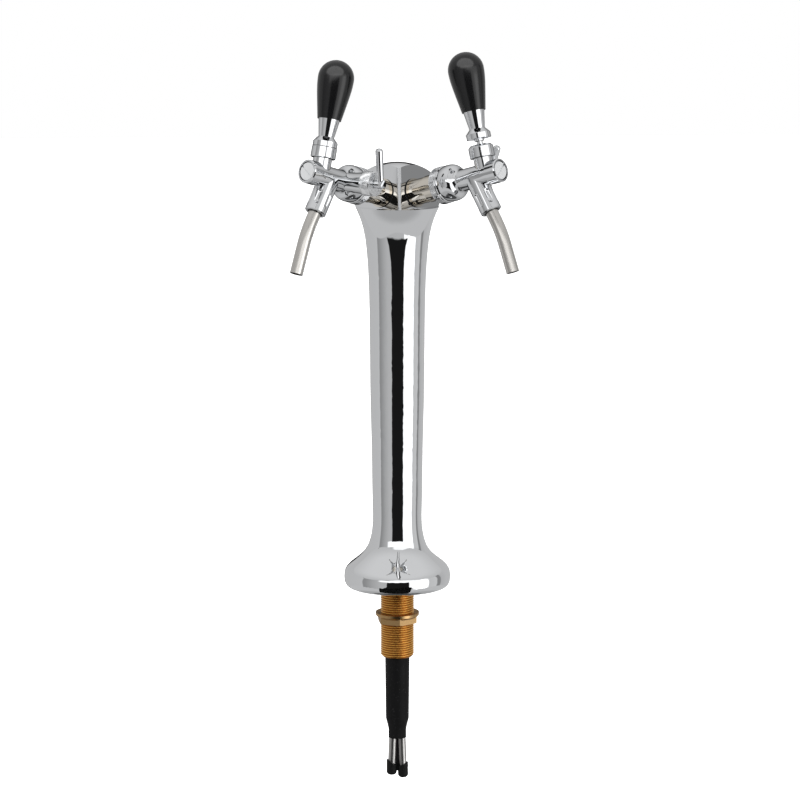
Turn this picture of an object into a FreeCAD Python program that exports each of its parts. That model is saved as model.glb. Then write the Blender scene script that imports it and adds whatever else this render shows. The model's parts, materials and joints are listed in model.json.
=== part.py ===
import FreeCAD, Part
import math
import os

# Two-tap counter-top beer tower. Millimetres and degrees, +Z up.
# The origin is the centre of the foot's sole. The taps lean out over -Y, one towards -X and one towards +X.

V = FreeCAD.Vector
UP = V(0, 0, 1)
OUT = V(1, 0, 0)
SIDEWAYS = V(0, 1, 0)

# --- fits shared by several pieces ---
SEAT_CLEARANCE = 0.03       # round seats between fixed pieces
RUNNING_CLEARANCE = 0.05    # shafts and pistons in their bores
SOFT_CLEARANCE = 0.3        # rubber beside a piece that moves

# --- column: foot, waist and trumpet head, as radius at height ---
COLUMN_WALL = 3.0
SOLE_RADIUS = 47.0
SOLE_THICKNESS = 8.0
FOOT_RADIUS = 53.0
FOOT_WIDEST_Z = 10.0
FOOT_EDGE_RADIUS = 51.8
FOOT_EDGE_Z = 16.6
SHOULDER_RADIUS = 44.2
SHOULDER_Z = 24.8
INSTEP_RADIUS = 31.4
INSTEP_Z = 37.1
THROAT_RADIUS = 26.5
THROAT_Z = 49.3
WAIST_RADIUS = 24.6
WAIST_Z = 84.0
GRIP_RADIUS = 25.2
GRIP_Z = 130.0
SHAFT_RADIUS = 26.45
SHAFT_Z = 187.0
NECK_RADIUS = 27.5
NECK_Z = 286.0
FLARE_RADIUS = 30.1
FLARE_Z = 337.7
TRUMPET_RADIUS = 35.2
TRUMPET_Z = 365.0
TRUMPET_SLOPE = 0.32        # radius gained per millimetre of height there
TRUMPET_PULL = 0.42         # share of the remaining height over which each end's direction holds
LEDGE_Z = 379.0
RIM_RADIUS = 45.4
RIM_Z = 397.0
RIM_ROUND = 1.6
DOME_RADIUS = 60.0
PROW_ROUND = 3.0

# --- tap faces: two flats on the head, leaning back by the tilt ---
TAP_AZIMUTH = 45.0
TAP_TILT = 14.3
FACE_DISTANCE = 23.0        # column axis to the face, at the height of the shank's centre
FACE_CENTRE_Z = 393.8
FACE_WALL = 4.0
LEDGE_WALL = 3.5

# --- threaded shank through the counter (G1) and its lock nut ---
SHANK_RADIUS = 16.62
SHANK_BORE_RADIUS = 12.9
SHANK_BELOW = 72.6
SHANK_ABOVE = 15.0
SHANK_CHAMFER = 1.9
BOSS_RADIUS = 23.0
BOSS_TOP_Z = 13.0
NUT_FLANGE_RADIUS = 21.8
NUT_FLANGE_THICKNESS = 2.6
NUT_BEVEL = 2.0
NUT_ACROSS_FLATS = 36.5
NUT_HEIGHT = 10.2
NUT_TOP_Z = -27.4
NUT_TURN = 3.0
NUT_EASING = 1.3            # radius taken off the hexagon's lower corners

# --- base seal let into the sole ---
SEAL_GROOVE_INNER = 38.5
SEAL_GROOVE_OUTER = 42.5
SEAL_GROOVE_DEPTH = 2.2

# --- insulation sleeve and the two lines ---
SLEEVE_RADIUS = 12.3
SLEEVE_FOOT_RADIUS = 11.6
SLEEVE_TOP_Z = 316.0
SLEEVE_END_Z = -157.0
SLEEVE_NECK_LENGTH = 9.0
SLEEVE_TAPER_LENGTH = 11.0
SLEEVE_NECK_RADIUS = 8.95
SLEEVE_ROUND = 4.0
LINE_RADIUS = 3.97
LINE_WALL = 0.9
LINE_HALF_PITCH = 4.4
LINE_SPLAY = 1.45           # how far each line stands out sideways at its lower end
LINE_BEND_RADIUS = 40.0
LINE_RISE_Z = 326.0         # where the lines start to lean towards the taps
LINE_ARRIVE_Z = 372.0
LINE_SLEEVE_CLEARANCE = 0.15
LINE_TURN_INSIDE = 2.0      # where the splay begins, above the sleeve's lower end
LINE_END_Z = {"left": -194.0, "right": -197.0}
CAP_RADIUS = 5.2
CAP_LIP_RADIUS = 5.4
CAP_LIP_HEIGHT = 1.4
CAP_LIP_STEP = 0.6
CAP_LENGTH = 15.5
CAP_SLANT = {"left": 24.0, "right": 15.0}   # the mouths are cut with their outer sides higher
CAP_FLOOR = 2.4
CAP_ROUND = 3.6

# --- tap shank: distances run outwards from the tap face ---
SNOUT_ROOT_RADIUS = 12.4
SNOUT_STEP = 18.7
SNOUT_RADIUS = 13.0
COLLAR_RADIUS = 13.9
COLLAR_LENGTH = 3.0
TAIL_RADIUS = 9.0
TAIL_LENGTH = 9.4
SPIGOT_RADIUS = 5.5
SPIGOT_END = 17.3
PORT_BACK = 13.7            # the line's port, behind the tap face
FLOW_RADIUS = 3.4
FACE_SEAL_RADIUS = 14.2
FACE_SEAL_THICKNESS = 1.3
BACKNUT_ACROSS_FLATS = 22.6
BACKNUT_THICKNESS = 4.4

# --- coupling nut ---
COUPLING_RADIUS = 18.0
COUPLING_REAR = 33.0
COUPLING_FRONT = 43.6
COUPLING_LIP = 2.3
COUPLING_THREAD_RADIUS = 14.5
COUPLING_CHAMFER = 0.8
COUPLING_RIM = 2.2          # plain rim ahead of the grip
COUPLING_GROOVE_DEPTH = 0.5
SPANNER_HOLE_COUNT = 4
SPANNER_HOLE_RADIUS = 2.1
SPANNER_HOLE_DEPTH = 2.2
SPANNER_HOLE_TURN = 38.0
WASHER_THICKNESS = 0.9
SHANK_FRONT = COUPLING_REAR + COUPLING_LIP + COLLAR_LENGTH

# --- faucet body ---
BARREL_RADIUS = 10.2
BELL_GAP = 0.4              # ahead of the coupling nut
BELL_EDGE_RADIUS = 17.2
BELL_RADIUS = 17.8
BELL_FULL = 48.5
BELL_SHOULDER = 56.6
BELL_SHOULDER_RADIUS = 15.2
BELL_FOOT = 59.2
BELL_FOOT_RADIUS = 11.7
BARREL_START = 62.5
NOSE_RADIUS = 11.3
NOSE_START = 98.5
NOSE_STEP = 0.8
NOSE_CHAMFER = 0.9
FACE_FRONT = 110.1
HANDLE_AT = 91.0            # handle axis, from the tap face
NECK_OUTER_RADIUS = 9.0
CHAMBER_RADIUS = 7.2
SEAT_AT = 70.2              # rear face of the valve seat
SEAT_THICKNESS = 3.0
SEAT_HOLE_RADIUS = 4.6
GUIDE_BORE_RADIUS = 6.05
PLUG_RADIUS = 9.25
PLUG_THICKNESS = 4.6
PLUG_RECESS = 0.5
PLUG_SLOT_WIDTH = 1.7
PLUG_SLOT_DEPTH = 1.2
PLUG_SLOT_TURN = {"left": 62.0, "right": -48.0}

# --- spout and its socket ---
SPOUT_AT = 77.4             # where the socket's axis meets the barrel's axis
SPOUT_LEAN = 18.5           # forward of square to the barrel
SPOUT_END_LEAN = 6.5
SOCKET_RADIUS = 10.3
SOCKET_LENGTH = 38.1
SOCKET_CHAMFER = 0.9
SPOUT_RADIUS = 6.25
SPOUT_WALL = 0.85
SPOUT_START = 14.0
SPOUT_BEND_RADIUS = 119.0
SPOUT_BEND_AT = 60.5
SPOUT_VISIBLE = 62.0
FLUTE_COUNT = 6
FLUTE_RADIUS = 4.0
FLUTE_DEPTH = 1.3
FLUTE_FROM = 16.0
FLUTE_TO = 33.0
SPOUT_SEAL_THICKNESS = 2.0
SPOUT_SEAL_WIDTH = 1.3

# --- flow compensator in the side turret ---
TURRET_AT = 56.0
TURRET_ROOT_RADIUS = 9.6
TURRET_RADIUS = 10.9
TURRET_LENGTH = 36.0
GLAND_RADIUS = 11.7
GLAND_THICKNESS = 4.2
GLAND_CHAMFER = 0.8
SPINDLE_RADIUS = 3.0
SPINDLE_TIP = 7.8           # inner end, from the flow axis
HUB_RADIUS = 3.9
HUB_GAP = 0.9
HUB_LENGTH = 8.9
ECCENTRIC_OFFSET = 1.9
ECCENTRIC_RADIUS = 1.0
ECCENTRIC_TIP = 4.6
FINGER_ROOT_RADIUS = 3.1
FINGER_RADIUS = 3.7
FINGER_HEIGHT = 34.0
FINGER_ROUND = 2.8
LEVER_SET = {"left": 18.0, "right": 33.0}   # forward of square to the barrel, as the levers stand
CONE_SLOPE = 0.9            # mean slope of the eccentric over its quarter turn
CONE_REAR = 13.0            # behind the turret's axis
CONE_FRONT = 2.8
CONE_TIP_RADIUS = 2.8
CONE_RADIUS = 6.7
CONE_GROOVE_RADIUS = 3.9
CONE_GROOVE_CLEARANCE = 0.2

# --- lever, bonnet and handle: heights above the barrel's axis ---
PIVOT_Z = 16.0
BALL_RADIUS = 6.0
NECK_TOP_Z = 18.0
BALL_WASHER_TOP_Z = 21.5
BONNET_RADIUS = 12.0
BONNET_CHAMFER = 0.6
DOME_GAP = 0.3              # rosette above the bonnet's domed edge
BONNET_DOME_RADIUS = 15.6
BONNET_MOUTH_RADIUS = 9.5
LEVER_NECK_RADIUS = 2.9
OPEN_ANGLE = 22.0
THUMB_RADIUS = 1.6
THUMB_REACH = 13.0
THUMB_SLOT_HALF_WIDTH = 2.6     # along the barrel
LEVER_COLLAR_RADIUS = 4.75
LEVER_COLLAR_Z = 31.4
LEVER_COLLAR_TOP_Z = 34.0
STUD_RADIUS = 4.0
STUD_TOP_Z = 66.0
ROSETTE_RADIUS = 11.75
ROSETTE_SHOULDER_Z = 31.6
ROSETTE_TOP_Z = 36.2
ROSETTE_TOP_RADIUS = 8.0
FERRULE_RADIUS = 7.4
FERRULE_TOP_RADIUS = 10.1
FERRULE_TOP_Z = 53.0
KNOB_FOOT_RADIUS = 11.35
KNOB_RADIUS = 17.2
KNOB_BELLY_RADIUS = 14.75
KNOB_BELLY_SHARE = 0.47
KNOB_CENTRE_HEIGHT = 39.8
HANDLE_RAISED = {"left": 0.0, "right": 7.5}  # how far each handle is screwed out on its stud

# --- piston ---
PISTON_FRONT = 9.5          # ahead of the handle's axis
PISTON_REAR = 5.0
PISTON_STEM_RADIUS = 2.2
PISTON_SEAL_THICKNESS = 2.6
PISTON_SEAL_OVERHANG = 0.2
PISTON_PLATE_THICKNESS = 1.4
PISTON_PLATE_RADIUS = 6.2
RING_AT = 6.6
RING_WIDTH = 2.2
RING_DEPTH = 1.4

SIDES = {"left": -1, "right": 1}
PARTS = {}


def keep(name, shape):
    """Keeps a finished piece under its node name."""
    solids = shape.Solids
    PARTS[name] = solids[0] if len(solids) == 1 else Part.makeCompound(solids)


# --- ways of making a shape ---
def turned(outline, axis=UP):
    """A piece turned on a lathe: outline is (distance along the axis, radius), closed along the axis."""
    first = outline[0][0]
    last = outline[-1][0]
    points = [V(0, 0, first)] + [V(r, 0, d) for d, r in outline] + [V(0, 0, last)]
    points = [p for p, q in zip(points, points[1:] + points[:1]) if (p - q).Length > 1e-6]
    face = Part.Face(Part.makePolygon(points + points[:1]))
    return aligned(face.revolve(V(0, 0, 0), UP, 360), axis)


def aligned(shape, axis):
    """Turns a shape made along +Z so that it lies along the axis."""
    shape.Placement = FreeCAD.Placement(V(0, 0, 0), FreeCAD.Rotation(UP, axis)).multiply(shape.Placement)
    return shape


def rod(radius, start, end, axis=UP, at=V(0, 0, 0)):
    """A plain cylinder between two distances along an axis through a point."""
    return Part.makeCylinder(radius, end - start, at + axis * start, axis)


def ring(outer, inner, start, end, axis=UP, at=V(0, 0, 0)):
    return rod(outer, start, end, axis, at).cut(rod(inner, start - 1, end + 1, axis, at))


def hexagon(across_flats, start, end, axis=UP, turn=0.0):
    """A hexagonal prism along an axis."""
    corner = across_flats / math.sqrt(3)
    points = []
    for k in range(7):
        angle = math.radians(60 * k + turn)
        points.append(V(corner * math.cos(angle), corner * math.sin(angle), start))
    prism = Part.Face(Part.makePolygon(points)).extrude(V(0, 0, end - start))
    return aligned(prism, axis)


def spun(shape, axis, angle, at=V(0, 0, 0)):
    """A copy of the shape, turned about an axis through a point."""
    copy = shape.copy()
    copy.rotate(at, axis, angle)
    return copy


def route(points, bend):
    """A wire of straight runs joined by arcs of one radius."""
    edges = []
    start = points[0]
    for before, corner, after in zip(points, points[1:], points[2:]):
        towards = (before - corner).normalize()
        away = (after - corner).normalize()
        half = towards.getAngle(away) / 2
        trim = bend / math.tan(half)
        centre = corner + (towards + away).normalize() * (bend / math.sin(half))
        middle = centre + (corner - centre).normalize() * bend
        edges.append(Part.LineSegment(start, corner + towards * trim).toShape())
        edges.append(Part.Arc(corner + towards * trim, middle, corner + away * trim).toShape())
        start = corner + away * trim
    edges.append(Part.LineSegment(start, points[-1]).toShape())
    return Part.Wire(edges)


def swept(wire, start, direction, radius):
    profile = Part.Wire(Part.makeCircle(radius, start, direction))
    return Part.makeSolid(wire.makePipeShell([profile], True, False))


def pipe(points, bend, outer, inner):
    """An open-ended tube along a route."""
    wire = route(points, bend)
    direction = points[1] - points[0]
    skin = swept(wire, points[0], direction, outer)
    return skin.cut(swept(wire, points[0], direction, inner))


# --- places on the tower ---
def tap_place(side):
    """The tap face's frame: origin at the shank's centre, X outwards, Y to the tap's left, Z up."""
    azimuth = SIDES[side] * TAP_AZIMUTH - 90
    turn = FreeCAD.Rotation(UP, azimuth).multiply(FreeCAD.Rotation(SIDEWAYS, -TAP_TILT))
    reach = FreeCAD.Rotation(UP, azimuth).multVec(OUT * FACE_DISTANCE)
    return FreeCAD.Placement(reach + UP * FACE_CENTRE_Z, turn)


def on_tap(shape, side):
    """A copy of a shape drawn in the tap face's frame, put on the tower."""
    copy = shape.copy()
    copy.Placement = tap_place(side).multiply(copy.Placement)
    return copy


# --- tower column ---
def column_curves(wall):
    """The flowing line from the foot's widest point to the rim, set in by a wall."""
    stations = [
        (FOOT_RADIUS, FOOT_WIDEST_Z),
        (FOOT_EDGE_RADIUS, FOOT_EDGE_Z),
        (SHOULDER_RADIUS, SHOULDER_Z),
        (INSTEP_RADIUS, INSTEP_Z),
        (THROAT_RADIUS, THROAT_Z),
        (WAIST_RADIUS, WAIST_Z),
        (GRIP_RADIUS, GRIP_Z),
        (SHAFT_RADIUS, SHAFT_Z),
        (NECK_RADIUS, NECK_Z),
        (FLARE_RADIUS, FLARE_Z),
        (TRUMPET_RADIUS, TRUMPET_Z),
    ]
    points = [V(r - wall, 0, z) for r, z in stations]
    flare = V(TRUMPET_SLOPE, 0, 1)
    stem = Part.BSplineCurve()
    stem.interpolate(Points=points, InitialTangent=UP, FinalTangent=flare, Scale=False)
    rim = V(RIM_RADIUS - wall, 0, RIM_Z)
    pull = TRUMPET_PULL * (RIM_Z - TRUMPET_Z)
    bell = Part.BezierCurve()
    bell.setPoles([points[-1], points[-1] + flare * pull, rim - UP * pull, rim])
    return [stem.toShape(), bell.toShape()]


def dome_edges(wall):
    """The rim's upright stretch and the dome's arc, from the rim to the axis."""
    rim = RIM_RADIUS - wall
    radius = DOME_RADIUS - wall
    centre_z = dome_centre_z()
    edge_z = centre_z + math.sqrt(radius**2 - rim**2)
    half = math.asin(rim / radius) / 2
    middle = V(radius * math.sin(half), 0, centre_z + radius * math.cos(half))
    upright = Part.LineSegment(V(rim, 0, RIM_Z), V(rim, 0, edge_z)).toShape()
    arc = Part.Arc(V(rim, 0, edge_z), middle, V(0, 0, centre_z + radius)).toShape()
    return [upright, arc]


def dome_centre_z():
    """Height of the dome's centre, for a rim that stands a little above the curve's end."""
    rim_top = RIM_Z + 5.0
    return rim_top - math.sqrt(DOME_RADIUS**2 - RIM_RADIUS**2)


def column_outer():
    sole = Part.BezierCurve()
    sole.setPoles([V(SOLE_RADIUS, 0, 0), V(FOOT_RADIUS, 0, 0), V(FOOT_RADIUS, 0, FOOT_WIDEST_Z)])
    edges = [Part.LineSegment(V(0, 0, 0), V(SOLE_RADIUS, 0, 0)).toShape(), sole.toShape()]
    edges += column_curves(0)
    edges += dome_edges(0)
    edges.append(Part.LineSegment(V(0, 0, dome_centre_z() + DOME_RADIUS), V(0, 0, 0)).toShape())
    solid = Part.Face(Part.Wire(edges)).revolve(V(0, 0, 0), UP, 360)
    rim = [e for e in solid.Edges if on_rim(e)]
    return solid.makeFillet(RIM_ROUND, rim)


def on_rim(edge):
    """True for the circle where the rim turns into the dome."""
    box = edge.BoundBox
    return box.ZLength < 0.01 and box.ZMin > RIM_Z + 1 and box.XLength > RIM_RADIUS


def column_inner():
    foot_inner = FOOT_RADIUS - COLUMN_WALL
    edges = [
        Part.LineSegment(V(0, 0, SOLE_THICKNESS), V(foot_inner, 0, SOLE_THICKNESS)).toShape(),
        Part.LineSegment(V(foot_inner, 0, SOLE_THICKNESS), V(foot_inner, 0, FOOT_WIDEST_Z)).toShape(),
    ]
    edges += column_curves(COLUMN_WALL)
    edges += dome_edges(COLUMN_WALL)
    top = dome_centre_z() + DOME_RADIUS - COLUMN_WALL
    edges.append(Part.LineSegment(V(0, 0, top), V(0, 0, SOLE_THICKNESS)).toShape())
    return Part.Face(Part.Wire(edges)).revolve(V(0, 0, 0), UP, 360)


def beyond_face(side, inset, floor_z):
    """Everything outside a tap face set in by a wall, above a floor."""
    reach = 4 * RIM_RADIUS
    block = Part.makeBox(reach, 2 * reach, 2 * reach, V(-inset, -reach, -reach))
    above = Part.makeBox(2 * reach, 2 * reach, reach, V(-reach, -reach, floor_z))
    return on_tap(block, side).common(above)


def on_prow(edge):
    """True for the edge where the two tap faces meet."""
    box = edge.BoundBox
    centred = abs(box.XMax) < 0.01 and abs(box.XMin) < 0.01
    return centred and box.ZLength > 10 and box.YMax < -FACE_DISTANCE


def tower_column():
    outer = column_outer()
    inner = column_inner()
    for side in SIDES:
        outer = outer.cut(beyond_face(side, 0, LEDGE_Z))
        inner = inner.cut(beyond_face(side, FACE_WALL, LEDGE_Z - LEDGE_WALL))
    outer = outer.makeFillet(PROW_ROUND, [e for e in outer.Edges if on_prow(e)])
    column = outer.cut(inner).fuse(rod(BOSS_RADIUS, 0, BOSS_TOP_Z))
    column = column.cut(rod(SHANK_RADIUS + SEAT_CLEARANCE, -1, BOSS_TOP_Z + 1))
    groove = ring(SEAL_GROOVE_OUTER, SEAL_GROOVE_INNER, -1, SEAL_GROOVE_DEPTH)
    column = column.cut(groove)
    for side in SIDES:
        hole = rod(TAIL_RADIUS + SEAT_CLEARANCE, -FACE_WALL - 1, 1, OUT)
        column = column.cut(on_tap(hole, side))
    return column


# --- counter fixing ---
def base_seal():
    outer = SEAL_GROOVE_OUTER - SEAT_CLEARANCE
    inner = SEAL_GROOVE_INNER + SEAT_CLEARANCE
    return ring(outer, inner, 0, SEAL_GROOVE_DEPTH - SEAT_CLEARANCE)


def threaded_shank():
    small = SHANK_RADIUS - SHANK_CHAMFER
    body = turned([
        (-SHANK_BELOW, small),
        (-SHANK_BELOW + SHANK_CHAMFER, SHANK_RADIUS),
        (SHANK_ABOVE, SHANK_RADIUS),
    ])
    return body.cut(rod(SHANK_BORE_RADIUS, -SHANK_BELOW - 1, SHANK_ABOVE + 1))


def lock_nut():
    flange_foot = NUT_TOP_Z - NUT_FLANGE_THICKNESS
    flange = turned([
        (flange_foot - NUT_BEVEL, NUT_FLANGE_RADIUS - NUT_BEVEL),
        (flange_foot, NUT_FLANGE_RADIUS),
        (NUT_TOP_Z, NUT_FLANGE_RADIUS),
    ])
    bottom = NUT_TOP_Z - NUT_HEIGHT
    prism = hexagon(NUT_ACROSS_FLATS, bottom, NUT_TOP_Z - 0.5, UP, NUT_TURN - 90)
    corner = NUT_ACROSS_FLATS / math.sqrt(3)
    easing = turned([
        (bottom, corner - NUT_EASING),
        (bottom + NUT_EASING * math.tan(math.radians(30)), corner),
        (NUT_TOP_Z, corner),
    ])
    nut = flange.fuse(prism.common(easing))
    return nut.cut(rod(SHANK_RADIUS + RUNNING_CLEARANCE, bottom - 1, NUT_TOP_Z + 1))


# --- sleeve and lines ---
def line_centre(side):
    return SIDES[side] * LINE_HALF_PITCH


def insulation_sleeve():
    taper_z = SLEEVE_END_Z + SLEEVE_NECK_LENGTH
    shoulder_z = taper_z + SLEEVE_TAPER_LENGTH
    body = turned([
        (SLEEVE_END_Z, SLEEVE_NECK_RADIUS),
        (taper_z, SLEEVE_NECK_RADIUS),
        (shoulder_z, SLEEVE_FOOT_RADIUS),
        (-SHANK_BELOW, SLEEVE_RADIUS),
        (SLEEVE_TOP_Z, SLEEVE_RADIUS),
    ])
    shoulder = [e for e in body.Edges if on_circle(e, shoulder_z) or on_circle(e, taper_z)]
    body = body.makeFillet(SLEEVE_ROUND, shoulder)
    hole = LINE_RADIUS + LINE_SLEEVE_CLEARANCE
    for side in SIDES:
        body = body.cut(rod(hole, SLEEVE_END_Z - 1, SLEEVE_TOP_Z + 1, UP, V(line_centre(side), 0, 0)))
    return body


def on_circle(edge, z):
    """True for an edge that lies flat at a height."""
    return abs(edge.BoundBox.ZMin - z) < 0.001 and abs(edge.BoundBox.ZMax - z) < 0.001


def port_place(side):
    """Where the line enters the tap shank's spigot from below."""
    return tap_place(side).multVec(OUT * -PORT_BACK)


def beer_line(side):
    x = line_centre(side)
    port = port_place(side)
    points = [
        V(x + SIDES[side] * LINE_SPLAY, 0, LINE_END_Z[side]),
        V(x, 0, SLEEVE_END_Z + LINE_TURN_INSIDE),
        V(x, 0, LINE_RISE_Z),
        V(port.x, port.y, LINE_ARRIVE_Z),
        V(port.x, port.y, port.z - 1.5),
    ]
    return pipe(points, LINE_BEND_RADIUS, LINE_RADIUS, LINE_RADIUS - LINE_WALL)


def line_cap(side):
    """Transit cap with a rounded end and a slanting mouth, pushed over the line's lower end."""
    bottom = -CAP_FLOOR
    mouth = bottom + CAP_LENGTH
    slant = CAP_SLANT[side]
    low = mouth - 2 * CAP_LIP_RADIUS * math.tan(math.radians(slant))
    cap = turned([
        (bottom, CAP_RADIUS),
        (low - CAP_LIP_HEIGHT - CAP_LIP_STEP, CAP_RADIUS),
        (low - CAP_LIP_HEIGHT, CAP_LIP_RADIUS),
        (mouth, CAP_LIP_RADIUS),
    ])
    cap = cap.makeFillet(CAP_ROUND, [e for e in cap.Edges if on_circle(e, bottom)])
    cap = cap.cut(rod(LINE_RADIUS + SEAT_CLEARANCE, 0, CAP_LENGTH))
    reach = 4 * CAP_LENGTH
    above = Part.makeBox(reach, reach, reach, V(-reach / 2, -reach / 2, 0))
    above.rotate(V(0, 0, 0), SIDEWAYS, -SIDES[side] * slant)
    above.translate(V(SIDES[side] * CAP_LIP_RADIUS, 0, mouth))
    cap = cap.cut(above)
    foot = V(line_centre(side) + SIDES[side] * LINE_SPLAY, 0, LINE_END_Z[side])
    top = V(line_centre(side), 0, SLEEVE_END_Z + LINE_TURN_INSIDE)
    cap = aligned(cap, top - foot)
    cap.translate(foot)
    return cap


# --- tap shank and what holds it ---
def tap_shank():
    body = turned([
        (-SPIGOT_END, SPIGOT_RADIUS),
        (-TAIL_LENGTH, SPIGOT_RADIUS),
        (-TAIL_LENGTH, TAIL_RADIUS),
        (0, TAIL_RADIUS),
        (0, SNOUT_ROOT_RADIUS),
        (SNOUT_STEP, SNOUT_ROOT_RADIUS),
        (SNOUT_STEP + 0.4, SNOUT_RADIUS),
        (COUPLING_REAR + COUPLING_LIP, SNOUT_RADIUS),
        (COUPLING_REAR + COUPLING_LIP, COLLAR_RADIUS),
        (SHANK_FRONT, COLLAR_RADIUS),
    ], OUT)
    body = body.cut(rod(FLOW_RADIUS, -PORT_BACK, SHANK_FRONT + 1, OUT))
    down = FreeCAD.Rotation(SIDEWAYS, TAP_TILT).multVec(UP * -1)
    return body.cut(rod(LINE_RADIUS + SEAT_CLEARANCE, -1.5, 3 * SPIGOT_RADIUS, down, OUT * -PORT_BACK))


def shank_seal():
    return ring(FACE_SEAL_RADIUS, SNOUT_ROOT_RADIUS + SEAT_CLEARANCE, 0, FACE_SEAL_THICKNESS, OUT)


def shank_backnut():
    start = -FACE_WALL - BACKNUT_THICKNESS
    nut = hexagon(BACKNUT_ACROSS_FLATS, start, -FACE_WALL, OUT, 30)
    return nut.cut(rod(TAIL_RADIUS + SEAT_CLEARANCE, start - 1, 0, OUT))


def coupling_nut():
    groove = COUPLING_RADIUS - COUPLING_GROOVE_DEPTH
    rim_start = COUPLING_FRONT - COUPLING_RIM
    nut = turned([
        (COUPLING_REAR, COUPLING_RADIUS - COUPLING_CHAMFER),
        (COUPLING_REAR + COUPLING_CHAMFER, COUPLING_RADIUS),
        (rim_start - 2 * COUPLING_GROOVE_DEPTH, COUPLING_RADIUS),
        (rim_start - COUPLING_GROOVE_DEPTH, groove),
        (rim_start, COUPLING_RADIUS),
        (COUPLING_FRONT - COUPLING_CHAMFER, COUPLING_RADIUS),
        (COUPLING_FRONT, COUPLING_RADIUS - COUPLING_CHAMFER),
    ], OUT)
    nut = nut.cut(rod(SNOUT_RADIUS + SEAT_CLEARANCE, COUPLING_REAR - 1, COUPLING_FRONT, OUT))
    nut = nut.cut(rod(COUPLING_THREAD_RADIUS, COUPLING_REAR + COUPLING_LIP, COUPLING_FRONT + 1, OUT))
    middle = (COUPLING_REAR + COUPLING_CHAMFER + rim_start) / 2
    floor = COUPLING_RADIUS - SPANNER_HOLE_DEPTH
    hole = rod(SPANNER_HOLE_RADIUS, floor, COUPLING_RADIUS + 1, UP, OUT * middle)
    for k in range(SPANNER_HOLE_COUNT):
        nut = nut.cut(spun(hole, OUT, SPANNER_HOLE_TURN + k * 360 / SPANNER_HOLE_COUNT))
    return nut


def coupling_seal():
    outer = COLLAR_RADIUS - 0.4
    return ring(outer, FLOW_RADIUS + 1, SHANK_FRONT, SHANK_FRONT + WASHER_THICKNESS, OUT)


# --- faucet body ---
def barrel_outer():
    """Threaded tail, bell, barrel and nose, turned about the flow axis."""
    tail = SHANK_FRONT + WASHER_THICKNESS
    tail_radius = COUPLING_THREAD_RADIUS - SEAT_CLEARANCE
    bell_start = COUPLING_FRONT + BELL_GAP
    stations = [
        (bell_start, BELL_EDGE_RADIUS),
        (BELL_FULL, BELL_RADIUS),
        (BELL_SHOULDER, BELL_SHOULDER_RADIUS),
        (BELL_FOOT, BELL_FOOT_RADIUS),
        (BARREL_START, BARREL_RADIUS),
    ]
    points = [V(r, 0, d) for d, r in stations]
    bell = Part.BSplineCurve()
    bell.interpolate(Points=points, InitialTangent=V(0.3, 0, 1).normalize(), FinalTangent=UP, Scale=False)
    before = [
        (tail, 0),
        (tail, tail_radius),
        (bell_start, tail_radius),
        (bell_start, BELL_EDGE_RADIUS),
    ]
    after = [
        (BARREL_START, BARREL_RADIUS),
        (NOSE_START - NOSE_STEP, BARREL_RADIUS),
        (NOSE_START, NOSE_RADIUS),
        (FACE_FRONT - NOSE_CHAMFER, NOSE_RADIUS),
        (FACE_FRONT, NOSE_RADIUS - NOSE_CHAMFER),
        (FACE_FRONT, 0),
    ]
    edges = straight_edges(before) + [bell.toShape()] + straight_edges(after)
    edges += straight_edges([after[-1], before[0]])
    solid = Part.Face(Part.Wire(edges)).revolve(V(0, 0, 0), UP, 360)
    return aligned(solid, OUT)


def straight_edges(outline):
    """Straight edges of a lathe outline given as (distance, radius)."""
    points = [V(r, 0, d) for d, r in outline]
    return [Part.LineSegment(p, q).toShape() for p, q in zip(points, points[1:])]


def lean(angle):
    """A downward direction in the tap's own plane, leaning forward from square to the barrel."""
    return V(math.sin(math.radians(angle)), 0, -math.cos(math.radians(angle)))


def socket_outer():
    down = lean(SPOUT_LEAN)
    socket = turned([
        (0, SOCKET_RADIUS),
        (SOCKET_LENGTH - SOCKET_CHAMFER, SOCKET_RADIUS),
        (SOCKET_LENGTH, SOCKET_RADIUS - SOCKET_CHAMFER),
    ])
    offset = SOCKET_RADIUS + FLUTE_RADIUS - FLUTE_DEPTH
    flute = rod(FLUTE_RADIUS, FLUTE_FROM + FLUTE_RADIUS, FLUTE_TO - FLUTE_RADIUS, UP, V(offset, 0, 0))
    for end in (FLUTE_FROM + FLUTE_RADIUS, FLUTE_TO - FLUTE_RADIUS):
        flute = flute.fuse(Part.makeSphere(FLUTE_RADIUS, V(offset, 0, end)))
    for k in range(FLUTE_COUNT):
        socket = socket.cut(spun(flute, UP, (k + 0.5) * 360 / FLUTE_COUNT))
    socket = aligned(socket, down)
    socket.translate(OUT * SPOUT_AT)
    return socket


def turret_outer():
    """Side branch that widens a little towards its gland."""
    turret = turned([
        (0, TURRET_ROOT_RADIUS),
        (BELL_RADIUS - 3, TURRET_ROOT_RADIUS),
        (TURRET_LENGTH, TURRET_RADIUS),
    ], SIDEWAYS)
    turret.translate(OUT * TURRET_AT)
    return turret


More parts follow.
